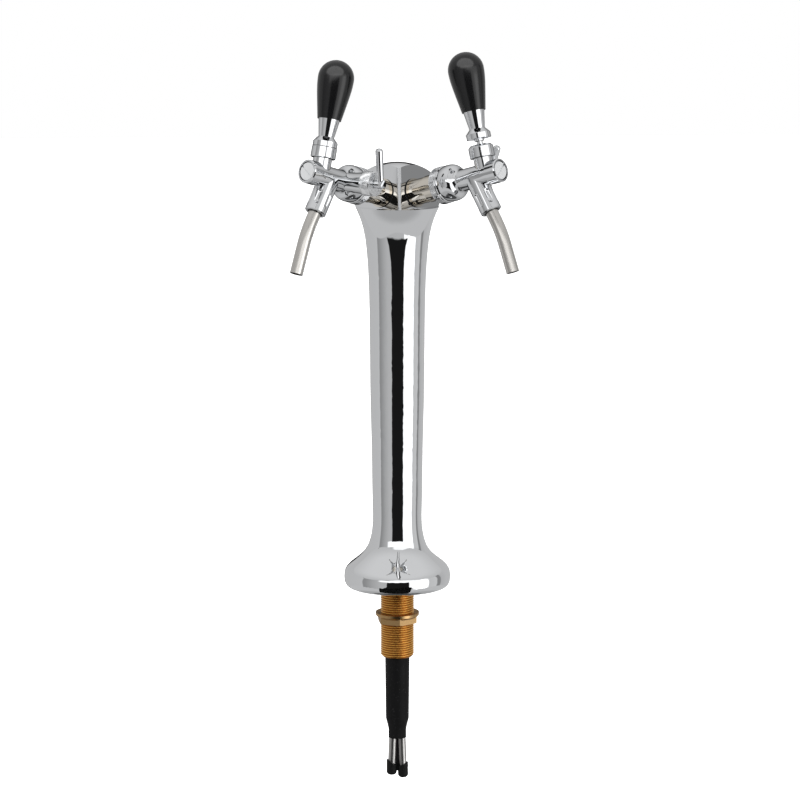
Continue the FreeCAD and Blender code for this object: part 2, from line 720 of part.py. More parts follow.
def faucet_bores():
    """The hollows of the body: flow chamber, seat, guide, lever neck, spout and turret."""
    at_handle = OUT * HANDLE_AT
    seat_front = SEAT_AT + SEAT_THICKNESS
    plug_back = FACE_FRONT - PLUG_RECESS - PLUG_THICKNESS
    at_spout = OUT * SPOUT_AT
    down = lean(SPOUT_LEAN)
    seal_start = SOCKET_LENGTH - SPOUT_SEAL_THICKNESS
    at_turret = OUT * TURRET_AT
    bores = [
        rod(CHAMBER_RADIUS, SHANK_FRONT, SEAT_AT, OUT),
        rod(SEAT_HOLE_RADIUS, SEAT_AT - 1, seat_front + 1, OUT),
        rod(GUIDE_BORE_RADIUS, seat_front, plug_back + 1, OUT),
        rod(PLUG_RADIUS + SEAT_CLEARANCE, plug_back, FACE_FRONT + 1, OUT),
        rod(BALL_RADIUS + RUNNING_CLEARANCE, 0, NECK_TOP_Z + 1, UP, at_handle),
        rod(SPOUT_RADIUS - SPOUT_WALL, 0, SPOUT_START + 1, down, at_spout),
        rod(SPOUT_RADIUS + SEAT_CLEARANCE, SPOUT_START, SOCKET_LENGTH + 1, down, at_spout),
        rod(SPOUT_RADIUS + SPOUT_SEAL_WIDTH, seal_start, SOCKET_LENGTH + 1, down, at_spout),
        rod(SPINDLE_RADIUS + RUNNING_CLEARANCE, 0, TURRET_LENGTH + 1, SIDEWAYS, at_turret),
    ]
    return bores


def faucet_body():
    body = barrel_outer()
    body = body.fuse(rod(NECK_OUTER_RADIUS, 0, NECK_TOP_Z, UP, OUT * HANDLE_AT))
    body = body.fuse(socket_outer())
    body = body.fuse(turret_outer())
    for bore in faucet_bores():
        body = body.cut(bore)
    return body


def front_plug(side):
    front = FACE_FRONT - PLUG_RECESS
    plug = turned([
        (front - PLUG_THICKNESS, PLUG_RADIUS),
        (front - 0.5, PLUG_RADIUS),
        (front, PLUG_RADIUS - 0.5),
    ], OUT)
    slot = Part.makeBox(
        PLUG_SLOT_DEPTH + 1, 4 * PLUG_RADIUS, PLUG_SLOT_WIDTH,
        V(front - PLUG_SLOT_DEPTH, -2 * PLUG_RADIUS, -PLUG_SLOT_WIDTH / 2),
    )
    return plug.cut(spun(slot, OUT, PLUG_SLOT_TURN[side]))


# --- spout ---
def spout_points():
    start = OUT * SPOUT_AT + lean(SPOUT_LEAN) * SPOUT_START
    corner = OUT * SPOUT_AT + lean(SPOUT_LEAN) * SPOUT_BEND_AT
    beyond = SOCKET_LENGTH + SPOUT_VISIBLE - SPOUT_BEND_AT
    return [start, corner, corner + lean(SPOUT_END_LEAN) * beyond]


def spout():
    return pipe(spout_points(), SPOUT_BEND_RADIUS, SPOUT_RADIUS, SPOUT_RADIUS - SPOUT_WALL)


def spout_seal():
    outer = SPOUT_RADIUS + SPOUT_SEAL_WIDTH - SEAT_CLEARANCE
    inner = SPOUT_RADIUS + SEAT_CLEARANCE
    start = SOCKET_LENGTH - SPOUT_SEAL_THICKNESS
    return ring(outer, inner, start, SOCKET_LENGTH, lean(SPOUT_LEAN), OUT * SPOUT_AT)


# --- flow compensator ---
def compensator_gland():
    end = TURRET_LENGTH + GLAND_THICKNESS
    gland = turned([
        (TURRET_LENGTH, GLAND_RADIUS),
        (end - GLAND_CHAMFER, GLAND_RADIUS),
        (end, GLAND_RADIUS - GLAND_CHAMFER),
    ], SIDEWAYS)
    gland = gland.cut(rod(SPINDLE_RADIUS + RUNNING_CLEARANCE, TURRET_LENGTH - 1, end + 1, SIDEWAYS))
    gland.translate(OUT * TURRET_AT)
    return gland


def compensator_lever(side):
    """Spindle with its eccentric pin and the finger pin, turned to where the lever stands."""
    hub_start = TURRET_LENGTH + GLAND_THICKNESS + HUB_GAP
    hub_end = hub_start + HUB_LENGTH
    lever = rod(SPINDLE_RADIUS, SPINDLE_TIP, hub_start, SIDEWAYS)
    lever = lever.fuse(rod(HUB_RADIUS, hub_start, hub_end, SIDEWAYS))
    eccentric = rod(ECCENTRIC_RADIUS, ECCENTRIC_TIP, SPINDLE_TIP + 1, SIDEWAYS, UP * -ECCENTRIC_OFFSET)
    lever = lever.fuse(eccentric)
    finger = turned([
        (0, FINGER_ROOT_RADIUS),
        (FINGER_HEIGHT, FINGER_RADIUS),
    ])
    finger = finger.makeFillet(FINGER_ROUND, [e for e in finger.Edges if on_circle(e, FINGER_HEIGHT)])
    finger.translate(SIDEWAYS * (hub_end - FINGER_RADIUS))
    lever = lever.fuse(finger)
    lever.rotate(V(0, 0, 0), SIDEWAYS, LEVER_SET[side])
    lever.translate(OUT * TURRET_AT)
    return lever


def cone_shift(side):
    """How far the lever's setting has pushed the cone back from mid travel."""
    return CONE_SLOPE * ECCENTRIC_OFFSET * math.radians(LEVER_SET[side])


def flow_cone(side):
    centre = TURRET_AT - cone_shift(side)
    half = ECCENTRIC_RADIUS + CONE_GROOVE_CLEARANCE
    return turned([
        (centre - CONE_REAR, CONE_TIP_RADIUS),
        (centre - half, CONE_RADIUS),
        (centre - half, CONE_GROOVE_RADIUS),
        (centre + half, CONE_GROOVE_RADIUS),
        (centre + half, CONE_RADIUS),
        (centre + CONE_FRONT, CONE_RADIUS),
    ], OUT)


# --- lever and handle ---
def lever_stem():
    """Thumb, ball, neck, collar and stud in one turned piece."""
    bottom = PIVOT_Z - THUMB_REACH
    stem = turned([
        (bottom, 0.5 * THUMB_RADIUS),
        (bottom + 0.5 * THUMB_RADIUS, THUMB_RADIUS),
        (PIVOT_Z, THUMB_RADIUS),
        (PIVOT_Z, LEVER_NECK_RADIUS),
        (LEVER_COLLAR_Z, LEVER_NECK_RADIUS),
        (LEVER_COLLAR_Z + 0.4, LEVER_COLLAR_RADIUS),
        (LEVER_COLLAR_TOP_Z, LEVER_COLLAR_RADIUS),
        (LEVER_COLLAR_TOP_Z, STUD_RADIUS),
        (STUD_TOP_Z, STUD_RADIUS),
    ])
    stem = stem.fuse(Part.makeSphere(BALL_RADIUS, V(0, 0, PIVOT_Z)))
    stem.translate(OUT * HANDLE_AT)
    return stem


def swing_opening(clearance):
    """The space that the lever's neck sweeps, as a cone about the pivot."""
    spread = math.tan(math.radians(OPEN_ANGLE))
    start = LEVER_NECK_RADIUS / math.cos(math.radians(OPEN_ANGLE)) + clearance
    reach = BONNET_DOME_RADIUS
    return Part.makeCone(start, start + reach * spread, reach, V(0, 0, PIVOT_Z))


def ball_washer():
    washer = rod(NECK_OUTER_RADIUS - 0.2, NECK_TOP_Z, BALL_WASHER_TOP_Z)
    washer = washer.cut(Part.makeSphere(BALL_RADIUS + RUNNING_CLEARANCE, V(0, 0, PIVOT_Z)))
    washer = washer.cut(swing_opening(0.4))
    washer.translate(OUT * HANDLE_AT)
    return washer


def bonnet_nut():
    edge_z = PIVOT_Z + math.sqrt(BONNET_DOME_RADIUS**2 - BONNET_RADIUS**2)
    skirt = turned([
        (PIVOT_Z, BONNET_RADIUS - BONNET_CHAMFER),
        (PIVOT_Z + BONNET_CHAMFER, BONNET_RADIUS),
        (edge_z + 6, BONNET_RADIUS),
    ])
    dome = Part.makeSphere(BONNET_DOME_RADIUS, V(0, 0, PIVOT_Z))
    nut = skirt.common(dome).cut(rod(NECK_OUTER_RADIUS + SEAT_CLEARANCE, 0, BALL_WASHER_TOP_Z))
    mouth_z = PIVOT_Z + math.sqrt(BONNET_DOME_RADIUS**2 - BONNET_MOUTH_RADIUS**2)
    base = BALL_WASHER_TOP_Z - 0.01
    throat = LEVER_NECK_RADIUS + (base - PIVOT_Z) * math.tan(math.radians(OPEN_ANGLE)) + 1.0
    slope = (BONNET_MOUTH_RADIUS - throat) / (mouth_z - base)
    top = mouth_z + 4
    nut = nut.cut(Part.makeCone(throat, throat + slope * (top - base), top - base, V(0, 0, base)))
    nut.translate(OUT * HANDLE_AT)
    return nut


def rosette(side):
    """Collar nut with a hollow underside that rides over the bonnet's domed edge."""
    hollow = BONNET_DOME_RADIUS + DOME_GAP
    rim_z = PIVOT_Z + math.sqrt(hollow**2 - ROSETTE_RADIUS**2)
    body = turned([
        (rim_z, ROSETTE_RADIUS),
        (ROSETTE_SHOULDER_Z, ROSETTE_RADIUS),
        (ROSETTE_TOP_Z - 0.5, ROSETTE_TOP_RADIUS),
        (ROSETTE_TOP_Z, ROSETTE_TOP_RADIUS - 0.4),
    ])
    body = body.cut(Part.makeSphere(hollow, V(0, 0, PIVOT_Z)))
    body = body.cut(rod(LEVER_COLLAR_RADIUS + SEAT_CLEARANCE, PIVOT_Z, LEVER_COLLAR_TOP_Z))
    body = body.cut(rod(STUD_RADIUS + SEAT_CLEARANCE, PIVOT_Z, ROSETTE_TOP_Z + 1))
    body.translate(OUT * HANDLE_AT + UP * HANDLE_RAISED[side])
    return body


def ferrule(side):
    body = turned([
        (ROSETTE_TOP_Z, FERRULE_RADIUS),
        (FERRULE_TOP_Z, FERRULE_TOP_RADIUS),
    ])
    body = body.cut(rod(STUD_RADIUS + SEAT_CLEARANCE, ROSETTE_TOP_Z - 1, FERRULE_TOP_Z + 1))
    body.translate(OUT * HANDLE_AT + UP * HANDLE_RAISED[side])
    return body


def knob(side):
    """Pear-shaped handle: a slightly bellied cone that runs into a ball top."""
    centre_z = FERRULE_TOP_Z + KNOB_CENTRE_HEIGHT
    side_curve = Part.BSplineCurve()
    belly_z = FERRULE_TOP_Z + KNOB_BELLY_SHARE * KNOB_CENTRE_HEIGHT
    points = [
        V(KNOB_FOOT_RADIUS, 0, FERRULE_TOP_Z),
        V(KNOB_BELLY_RADIUS, 0, belly_z),
        V(KNOB_RADIUS, 0, centre_z),
    ]
    slope = V(KNOB_BELLY_RADIUS - KNOB_FOOT_RADIUS, 0, belly_z - FERRULE_TOP_Z)
    side_curve.interpolate(Points=points, InitialTangent=slope.normalize(), FinalTangent=UP, Scale=False)
    corner = KNOB_RADIUS * math.sqrt(0.5)
    top = V(0, 0, centre_z + KNOB_RADIUS)
    ball = Part.Arc(V(KNOB_RADIUS, 0, centre_z), V(corner, 0, centre_z + corner), top)
    edges = [
        Part.LineSegment(V(0, 0, FERRULE_TOP_Z), V(KNOB_FOOT_RADIUS, 0, FERRULE_TOP_Z)).toShape(),
        side_curve.toShape(),
        ball.toShape(),
        Part.LineSegment(top, V(0, 0, FERRULE_TOP_Z)).toShape(),
    ]
    body = Part.Face(Part.Wire(edges)).revolve(V(0, 0, 0), UP, 360)
    thread_top = STUD_TOP_Z - HANDLE_RAISED[side]
    body = body.cut(rod(STUD_RADIUS + SEAT_CLEARANCE, FERRULE_TOP_Z - 1, thread_top + SOFT_CLEARANCE))
    body.translate(OUT * HANDLE_AT + UP * HANDLE_RAISED[side])
    return body


# --- piston ---
def seal_front():
    """Front face of the piston's rubber washer, just behind the seat."""
    return SEAT_AT - SOFT_CLEARANCE


def piston():
    guide_front = HANDLE_AT + PISTON_FRONT
    guide_rear = HANDLE_AT - PISTON_REAR
    guide = GUIDE_BORE_RADIUS - RUNNING_CLEARANCE
    plate_front = seal_front() - PISTON_SEAL_THICKNESS
    groove_rear = HANDLE_AT + RING_AT - RING_WIDTH / 2
    body = turned([
        (plate_front - PISTON_PLATE_THICKNESS, PISTON_PLATE_RADIUS),
        (plate_front, PISTON_PLATE_RADIUS),
        (plate_front, PISTON_STEM_RADIUS),
        (guide_rear, PISTON_STEM_RADIUS),
        (guide_rear, guide),
        (groove_rear, guide),
        (groove_rear, guide - RING_DEPTH),
        (groove_rear + RING_WIDTH, guide - RING_DEPTH),
        (groove_rear + RING_WIDTH, guide),
        (guide_front, guide),
    ], OUT)
    slot = Part.makeBox(
        2 * THUMB_SLOT_HALF_WIDTH, 2 * (THUMB_RADIUS + SOFT_CLEARANCE), 2 * guide,
        V(HANDLE_AT - THUMB_SLOT_HALF_WIDTH, -THUMB_RADIUS - SOFT_CLEARANCE, PIVOT_Z - THUMB_REACH - 1.5),
    )
    return body.cut(slot)


def piston_seal():
    outer = PISTON_PLATE_RADIUS + PISTON_SEAL_OVERHANG
    front = seal_front()
    return ring(outer, PISTON_STEM_RADIUS + SEAT_CLEARANCE, front - PISTON_SEAL_THICKNESS, front, OUT)


def piston_o_ring():
    middle = HANDLE_AT + RING_AT
    outer = GUIDE_BORE_RADIUS - RUNNING_CLEARANCE
    inner = outer - RING_DEPTH + SEAT_CLEARANCE
    half = RING_WIDTH / 2 - SEAT_CLEARANCE
    return ring(outer, inner, middle - half, middle + half, OUT)


# --- assembly ---
def build_tower():
    keep("tower_column", tower_column())
    keep("base_seal", base_seal())
    keep("threaded_shank", threaded_shank())
    keep("lock_nut", lock_nut())
    keep("insulation_sleeve", insulation_sleeve())
    for side in SIDES:
        keep("beer_line_" + side, beer_line(side))
        keep("line_cap_" + side, line_cap(side))


def build_tap(side):
    same_on_both = [
        tap_shank, shank_seal, shank_backnut, coupling_nut, coupling_seal, faucet_body, spout, spout_seal,
        compensator_gland, ball_washer, bonnet_nut, lever_stem, piston, piston_seal, piston_o_ring,
    ]
    for make in same_on_both:
        keep(make.__name__ + "_" + side, on_tap(make(), side))
    for make in (front_plug, compensator_lever, flow_cone, rosette, ferrule, knob):
        keep(make.__name__ + "_" + side, on_tap(make(side), side))


def main():
    build_tower()
    for side in SIDES:
        build_tap(side)
    os.makedirs("parts", exist_ok=True)
    for name, shape in PARTS.items():
        shape.exportStep("parts/" + name + ".step")


main()
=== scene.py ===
import json
import math

import bmesh
import bpy
from bpy.props import FloatProperty, FloatVectorProperty, IntProperty, PointerProperty
from mathutils import Matrix, Vector


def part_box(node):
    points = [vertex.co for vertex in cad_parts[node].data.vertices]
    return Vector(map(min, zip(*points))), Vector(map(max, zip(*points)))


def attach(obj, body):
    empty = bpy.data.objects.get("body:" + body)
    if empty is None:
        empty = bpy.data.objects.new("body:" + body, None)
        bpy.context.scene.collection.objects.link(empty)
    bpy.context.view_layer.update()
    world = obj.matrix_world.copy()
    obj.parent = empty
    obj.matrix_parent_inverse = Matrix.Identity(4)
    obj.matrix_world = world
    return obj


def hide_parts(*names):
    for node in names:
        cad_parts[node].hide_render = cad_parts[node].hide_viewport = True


bl_info = {
    "name": "Beer tower dresser",
    "version": (1, 0, 0),
    "blender": (4, 5, 0),
    "location": "View3D > Sidebar > Tower",
    "description": "Finishes a two-tap beer tower: chrome, brass thread, knurls, knobs and a studio",
    "category": "Object",
}

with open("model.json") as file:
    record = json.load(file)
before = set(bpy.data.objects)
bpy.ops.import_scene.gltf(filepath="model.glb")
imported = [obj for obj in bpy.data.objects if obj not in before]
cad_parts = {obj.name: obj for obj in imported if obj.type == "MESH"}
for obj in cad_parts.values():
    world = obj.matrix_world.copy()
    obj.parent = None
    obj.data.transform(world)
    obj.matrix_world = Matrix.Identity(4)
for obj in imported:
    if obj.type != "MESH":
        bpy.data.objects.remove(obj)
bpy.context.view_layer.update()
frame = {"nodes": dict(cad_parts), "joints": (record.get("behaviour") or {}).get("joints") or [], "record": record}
RECORD = frame["record"]
SIDES = {"left": -1, "right": 1}
BODY_OF = {node: body for body, nodes in RECORD["behaviour"]["bodies"].items() for node in nodes}
SLOT_OF = {part["node"]: part["material_slot"] for part in RECORD["subparts"]}
MM = 0.001
FULL_TURN = 2 * math.pi

# --- measures of the pieces, in metres ---
TURRET_AT = 56.0 * MM  # the flow lever's axis, from the tap face
WELD = 1e-6  # points nearer to each other than this are one point
SHARP_CAST = math.radians(28)  # edges of the CAD pieces stay sharp from this angle on
SHARP_MADE = math.radians(60)  # the same for the thread, the web and the skirts
WASHER_FLAT = 0.9  # cosine of the angle to the shank within which a washer's face is plated
THREAD_FLANK = (0.10, 0.90)  # shares of the half pitch between which a flank rises
POINT_SPREAD = 1.9  # half diagonal of a knurl's point, as a multiple of its height
PLUG_SHARE = 0.945  # the plug's width in its bore, so that a dark ring shows round it
PLUG_TURN = {"left": math.radians(-97), "right": math.radians(86)}  # how far each plug is screwed in
SKIRT_LENGTH = 7.6 * MM  # how far the gland is drawn back over the turret
SKIRT_WALL = 1.6 * MM
SKIRT_CHAMFER = 0.5 * MM
SKIRT_STEPS = 72
WEB_FRONT = -0.4 * MM  # the strip between the feed lines lies between these two depths
WEB_BACK = 1.8 * MM
WEB_HALVES = (1.6 * MM, 2.4 * MM, 2.0 * MM)  # its half width at the sleeve, at the caps' tops and at its end
WEB_TUCK = 2.0 * MM  # how far it reaches up into the sleeve
WEB_STOP = 4.0 * MM  # how far above the caps' ends it stops

# --- tints and noise levels of the finishes ---
TURNED_FACE_PAINTED_LIGHT = (0.97, 0.98, 0.99)  # painted light: a turned face's base is made paler than the polished barrel round it, so that it shows brighter
FLOOR_TINT = (0.92, 0.92, 0.92)
CARD_TINT = (0.004, 0.004, 0.004)
SMUDGE_RANGE = (0.50, 0.72)  # noise levels at which a smudge begins and is full
SPECK_RANGE = (0.66, 0.72)  # the same for specks
DRAWN_SHARE = 0.03  # width of a drawn mark, as a share of its length
STREAK_RANGE = (0.3, 0.7)
STREAK_SHADES = (0.82, 1.14)  # darkest and palest streak, as a share of the base colour
BRASS_PATCH_RANGE = (0.35, 0.65)
BRASS_PATCH_SHADES = (0.86, 1.10)
ROOT_PAINTED_SHADE = (0.44, 0.34, 0.26)  # painted shade: what is left of each colour at a thread's root
# painted highlight: how much paler a thread's crest is than the base colour
CREST_PAINTED_HIGHLIGHT = 1.12
MOULDED_PATCH_RANGE = (0.3, 0.7)

# --- the floor and the camera ---
FLOOR_HALF = 14.0
CAMERA_PLACE = (-0.1808, -2.5780, 0.6059)
CAMERA_TARGET = (0.00311, 0.00621, 0.18634)
SENSOR_WIDTH = 36.0  # millimetres
CLIP_END = 60.0

# --- the studio that the chrome mirrors ---
# A fade is two elevations in degrees; a window is low, high and softness, in degrees of azimuth or elevation,
# and for the seam in shares of a unit sphere's radius.
BOW = 0.55  # the softboxes are flat, so their edges bow towards eye level at the sides
GROUND_FADE = (-50.0, -38.0)
GROUND_SHARE = 0.75
PIT_FADE = (-60.0, -66.0)
PIT_LEVEL = 0.07
CEILING_FADE = (20.0, 60.0)
FRAMES = ((-89.0, -86.0, 1.0), (92.0, 105.0, 1.0))  # azimuths of the softboxes' dark frames
FRAME_HEIGHT = (-22.0, 34.0, 0.7)
FRAME_LEVEL = 0.24
BOX_HEIGHT = (-31.0, 31.0, 0.7)
# Brightness at the height of the softboxes, as azimuth and level.
STRIPES = (
    (-180, 0.52), (-96, 0.56), (-86, 0.58), (-84, 0.29), (-77, 0.31), (-60, 0.42), (-42, 0.51),
    (21.5, 0.52), (22.5, 1.30), (36, 1.42), (44, 2.60), (58, 2.60), (67, 1.42), (69, 0.60),
    (92, 0.64), (94, 0.26), (103, 0.26), (106, 0.50), (130, 0.55), (180, 0.52),
)
BRIGHTEST = 3.0  # the level that stands for 1 in the colour ramp
STRIP_HEIGHT = (13.0, 25.0, 0.8)
STRIP_ROUND = (-44.0, 68.0, 6.0)
THIN_HEIGHT = (25.0, 33.0, 0.7)
THIN_ROUND = (-22.0, 44.0, 6.0)
THIN_LEVEL = 1.2
GAP_ROUND = (-27.0, 21.5, 1.0)
GAP_HEIGHT = (-25.0, 14.0, 1.0)
FUNNEL_FADE = (-26.0, -10.0)  # the gap widens downwards between these elevations
FUNNEL_SHARES = (0.62, 1.0)
FRONT_FADE = (-0.05, 0.05)  # in Y, from the half sphere in front to the one behind
SEAM_FADE = (38.0, 41.0)
SEAM_DARK = (-0.036, 0.050, 0.006)
SEAM_DARK_LEVEL = 0.06
SEAM_BRIGHT = (-0.006, 0.018, 0.004)
SEAM_BRIGHT_LEVEL = 1.3
BACK_ROUND = (169.0, 181.0, 1.0)
BACK_HEIGHT = (-39.0, 20.0, 1.0)
BACK_LEVEL = 0.03
MATT_LEVEL = 1.1  # what matt surfaces see of it
SEEN_LEVEL = 1.0  # what the camera sees

# --- lamps and cards, in metres and watts ---
CARD_DEPTH = -0.27
CARD_OUTLINE = ((-0.24, -0.105), (0.02, -0.05), (0.12, -0.05), (0.14, -0.46), (-0.32, -0.46))
OVERHEAD_PLACE = (-0.4, -1.0, 2.8)
OVERHEAD_TARGET = (0.0, 0.0, 0.1)
OVERHEAD_SIZE = 3.2
OVERHEAD_ENERGY = 60.0
# Softboxes for a few pieces alone: place, target and size, for the right tap where there are two.
KNOB_PANEL = ((-0.12, -0.65, 1.30), (0.0, -0.08, 0.50), (2.4, 1.3))
KNOB_LIGHT = 1.95
PLUG_PANEL = ((1.24, -0.15, 0.80), (0.09, -0.10, 0.42), (0.9, 0.9))
PLUG_LIGHT = {"left": 0.22, "right": 0.34}
GLAND_PANEL = ((1.10, 0.10, 1.20), (0.09, -0.10, 0.42), (2.4, 2.4))
GLAND_LIGHT = 0.75


# --- sizes and colours that a user would change ---
def number(name, description, value, **more):
    kind = IntProperty if isinstance(value, int) else FloatProperty
    return kind(name=name, description=description, default=value, **more)


def length(name, description, value):
    return number(name, description, value, subtype="DISTANCE", unit="LENGTH")


def colour(name, description, value):
    return FloatVectorProperty(
        name=name, description=description, default=value, size=3, min=0, max=1, subtype="COLOR",
    )


class ThreadSizes(bpy.types.PropertyGroup):
    pitch: length("Pitch", "Distance from crest to crest", 2.309 * MM)
    crest: length("Crest radius", "Outside radius of the thread", 16.62 * MM)
    depth: length("Depth", "Crest to root", 1.35 * MM)
    bore: length("Bore radius", "Inside of the shank", 12.9 * MM)
    chamfer: length("Chamfer", "Lead-in at the lower end", 1.9 * MM)
    facets: number("Facets", "Segments round the shank", 84)
    rows: number("Rows a turn", "Segments from crest to crest", 12)


class KnurlSizes(bpy.types.PropertyGroup):
    radius: length("Radius", "Radius that the knurl stands on", 17.97 * MM)
    start: length("Start", "Rear end of the knurl, from the tap face", 34.3 * MM)
    end: length("End", "Front end of the knurl, from the tap face", 40.0 * MM)
    height: length("Height", "Height of one point", 0.28 * MM)
    across: number("Points round", "Points round the nut", 128)
    along: number("Rows", "Rows of points along the nut", 8)
    hole_at: length("Hole place", "Spanner holes, from the tap face", 37.6 * MM)
    hole_radius: length("Bare radius", "Ground kept bare round each spanner hole", 2.5 * MM)
    hole_turn: number(
        "Hole turn", "Place of the first spanner hole round the nut", math.radians(38.0),
        subtype="ANGLE", unit="ROTATION",
    )


class FinishColours(bpy.types.PropertyGroup):
    chrome: colour("Chrome", "Polished plate", (0.82, 0.83, 0.845))
    nickel: colour("Nickel", "Plate on the tap shanks", (0.82, 0.77, 0.69))
    steel: colour("Steel", "Spout tubes", (0.66, 0.64, 0.61))
    tube: colour("Tube", "Feed lines", (0.52, 0.51, 0.50))
    brass: colour("Brass", "Threaded shank", (1.0, 0.53, 0.14))
    nut: colour("Dull brass", "Lock nut", (0.55, 0.35, 0.16))
    knob: colour("Knob", "Handle knobs", (0.003, 0.003, 0.0033))
    rubber: colour("Rubber", "Caps and seals", (0.0035, 0.0035, 0.0035))
    foam: colour("Foam", "Insulation sleeve", (0.0035, 0.0035, 0.0037))
    plain: colour("Plain", "Hidden moulding", (0.70, 0.70, 0.67))


class StudioSettings(bpy.types.PropertyGroup):
    floor_z: length("Floor height", "Height of the floor", -0.42)
    floor_glow: number("Floor glow", "Light given off by the floor", 0.55)
    around: number("Walls", "Brightness of the walls", 0.57)
    overhead: number("Ceiling", "Brightness overhead", 0.70)
    strip: number("Strip", "Brightness of the strip over the softboxes", 1.45)
    dark: number("Dark gap", "Brightness between the softboxes", 0.010)
    lens: number("Lens", "Camera lens in millimetres", 119.06)


# --- shader tools ---
def link(tree, source, target):
    """Links an output to a socket, or sets a number on it."""
    if isinstance(source, (int, float)):
        target.default_value = source
    else:
        tree.links.new(source, target)


def math_node(tree, operation, *values):
    node = tree.nodes.new("ShaderNodeMath")
    node.operation = operation
    for value, socket in zip(values, node.inputs):
        link(tree, value, socket)
    return node.outputs[0]


def ramp(tree, value, low, high, to_low=0.0, to_high=1.0, smooth=True):
    """Maps a value from one range to another, held at both ends."""
    node = tree.nodes.new("ShaderNodeMapRange")
    node.interpolation_type = "SMOOTHSTEP" if smooth else "LINEAR"
    given = {"Value": value, "From Min": low, "From Max": high, "To Min": to_low, "To Max": to_high}
    for name, source in given.items():
        link(tree, source, node.inputs[name])
    return node.outputs["Result"]


def new_group(name, numbers, outputs):
    """A shader group with a vector, some numbers with their defaults, and outputs that are numbers."""
    group = bpy.data.node_groups.new(name, "ShaderNodeTree")
    group.interface.new_socket("Vector", in_out="INPUT", socket_type="NodeSocketVector")
    for label, value in numbers.items():
        socket = group.interface.new_socket(label, in_out="INPUT", socket_type="NodeSocketFloat")
        socket.default_value = value
    for label in outputs:
        group.interface.new_socket(label, in_out="OUTPUT", socket_type="NodeSocketFloat")
    source = group.nodes.new("NodeGroupInput")
    target = group.nodes.new("NodeGroupOutput")
    return group, source.outputs, target.inputs


def scaled_vector(group, vector, factors):
    """A vector whose three parts are multiplied one by one."""
    node = group.nodes.new("ShaderNodeVectorMath")
    node.operation = "MULTIPLY"
    node.inputs[1].default_value = factors
    link(group, vector, node.inputs[0])
    return node.outputs["Vector"]


def scaled_noise(group, vector, scale, detail):
    node = group.nodes.new("ShaderNodeTexNoise")
    node.inputs["Detail"].default_value = detail
    link(group, vector, node.inputs["Vector"])
    link(group, scale, node.inputs["Scale"])
    return node.outputs["Fac"]


def polish_group():
    """Long waves and faint smudges, as polishing and handling leave them."""
    group, given, out = new_group(
        "Polish marks",
        {"Wave Scale": 30.0, "Smudge Scale": 45.0, "Clean Roughness": 0.03, "Smudged Roughness": 0.09},
        ("Height", "Roughness"),
    )
    wave = scaled_noise(group, given["Vector"], given["Wave Scale"], detail=1.0)
    smudge = scaled_noise(group, given["Vector"], given["Smudge Scale"], detail=5.0)
    mask = ramp(group, smudge, *SMUDGE_RANGE)
    mix = group.nodes.new("ShaderNodeMix")
    link(group, mask, mix.inputs["Factor"])
    link(group, given["Clean Roughness"], mix.inputs["A"])
    link(group, given["Smudged Roughness"], mix.inputs["B"])
    link(group, wave, out["Height"])
    link(group, mix.outputs["Result"], out["Roughness"])
    return group


def grain_group():
    """Fine even grain with a slow change under it."""
    scales = {"Grain Scale": 900.0, "Patch Scale": 40.0}
    group, given, out = new_group("Fine grain", scales, ("Grain", "Patch", "Specks"))
    grain = scaled_noise(group, given["Vector"], given["Grain Scale"], detail=2.0)
    patch = scaled_noise(group, given["Vector"], given["Patch Scale"], detail=4.0)
    link(group, grain, out["Grain"])
    link(group, patch, out["Patch"])
    link(group, ramp(group, grain, *SPECK_RANGE), out["Specks"])
    return group


def brushed_group():
    """Marks drawn out along local Z: fine lines, and broader streaks under them."""
    scales = {"Line Scale": 1500.0, "Streak Scale": 260.0}
    group, given, out = new_group("Drawn metal", scales, ("Lines", "Streaks"))
    drawn = scaled_vector(group, given["Vector"], (1.0, 1.0, DRAWN_SHARE))
    lines = scaled_noise(group, drawn, given["Line Scale"], detail=2.0)
    streaks = scaled_noise(group, drawn, given["Streak Scale"], detail=3.0)
    link(group, lines, out["Lines"])
    link(group, streaks, out["Streaks"])
    return group


def groove_group():
    """How far out a point stands between two radii round local Z."""
    group, given, out = new_group("Groove", {"Root": 15.2 * MM, "Crest": 16.6 * MM}, ("Height",))
    level = scaled_vector(group, given["Vector"], (1.0, 1.0, 0.0))
    radius = group.nodes.new("ShaderNodeVectorMath")
    radius.operation = "LENGTH"
    link(group, level, radius.inputs[0])
    height = ramp(group, radius.outputs["Value"], given["Root"], given["Crest"], smooth=False)
    link(group, height, out["Height"])
    return group


def place_group(tree, group, **values):
    """Puts a shader group in a material, fed by object coordinates."""
    coordinates = tree.nodes.new("ShaderNodeTexCoord")
    node = tree.nodes.new("ShaderNodeGroup")
    node.node_tree = group
    link(tree, coordinates.outputs["Object"], node.inputs["Vector"])
    for name, value in values.items():
        node.inputs[name.replace("_", " ")].default_value = value
    return node


def turned_vector(tree, node, turn):
    """Turns the pattern of a group so that its local Z lies along a direction."""
    mapping = tree.nodes.new("ShaderNodeMapping")
    mapping.inputs["Rotation"].default_value = turn
    source = node.inputs["Vector"].links[0].from_socket
    link(tree, source, mapping.inputs["Vector"])
    link(tree, mapping.outputs["Vector"], node.inputs["Vector"])


def new_material(name, base, metallic, roughness, specular=0.5):
    """A material with one Principled shader, and that shader."""
    material = bpy.data.materials.new(name)
    material.use_nodes = True
    shader = material.node_tree.nodes["Principled BSDF"]
    shader.inputs["Base Color"].default_value = (*base, 1.0)
    shader.inputs["Metallic"].default_value = metallic
    shader.inputs["Roughness"].default_value = roughness
    shader.inputs["Specular IOR Level"].default_value = specular
    return material, shader


def bump(tree, shader, height, distance, strength=1.0):
    """Dents the surface by a height that stands for a distance."""
    node = tree.nodes.new("ShaderNodeBump")
    node.inputs["Strength"].default_value = strength
    node.inputs["Distance"].default_value = distance
    link(tree, height, node.inputs["Height"])
    link(tree, node.outputs["Normal"], shader.inputs["Normal"])


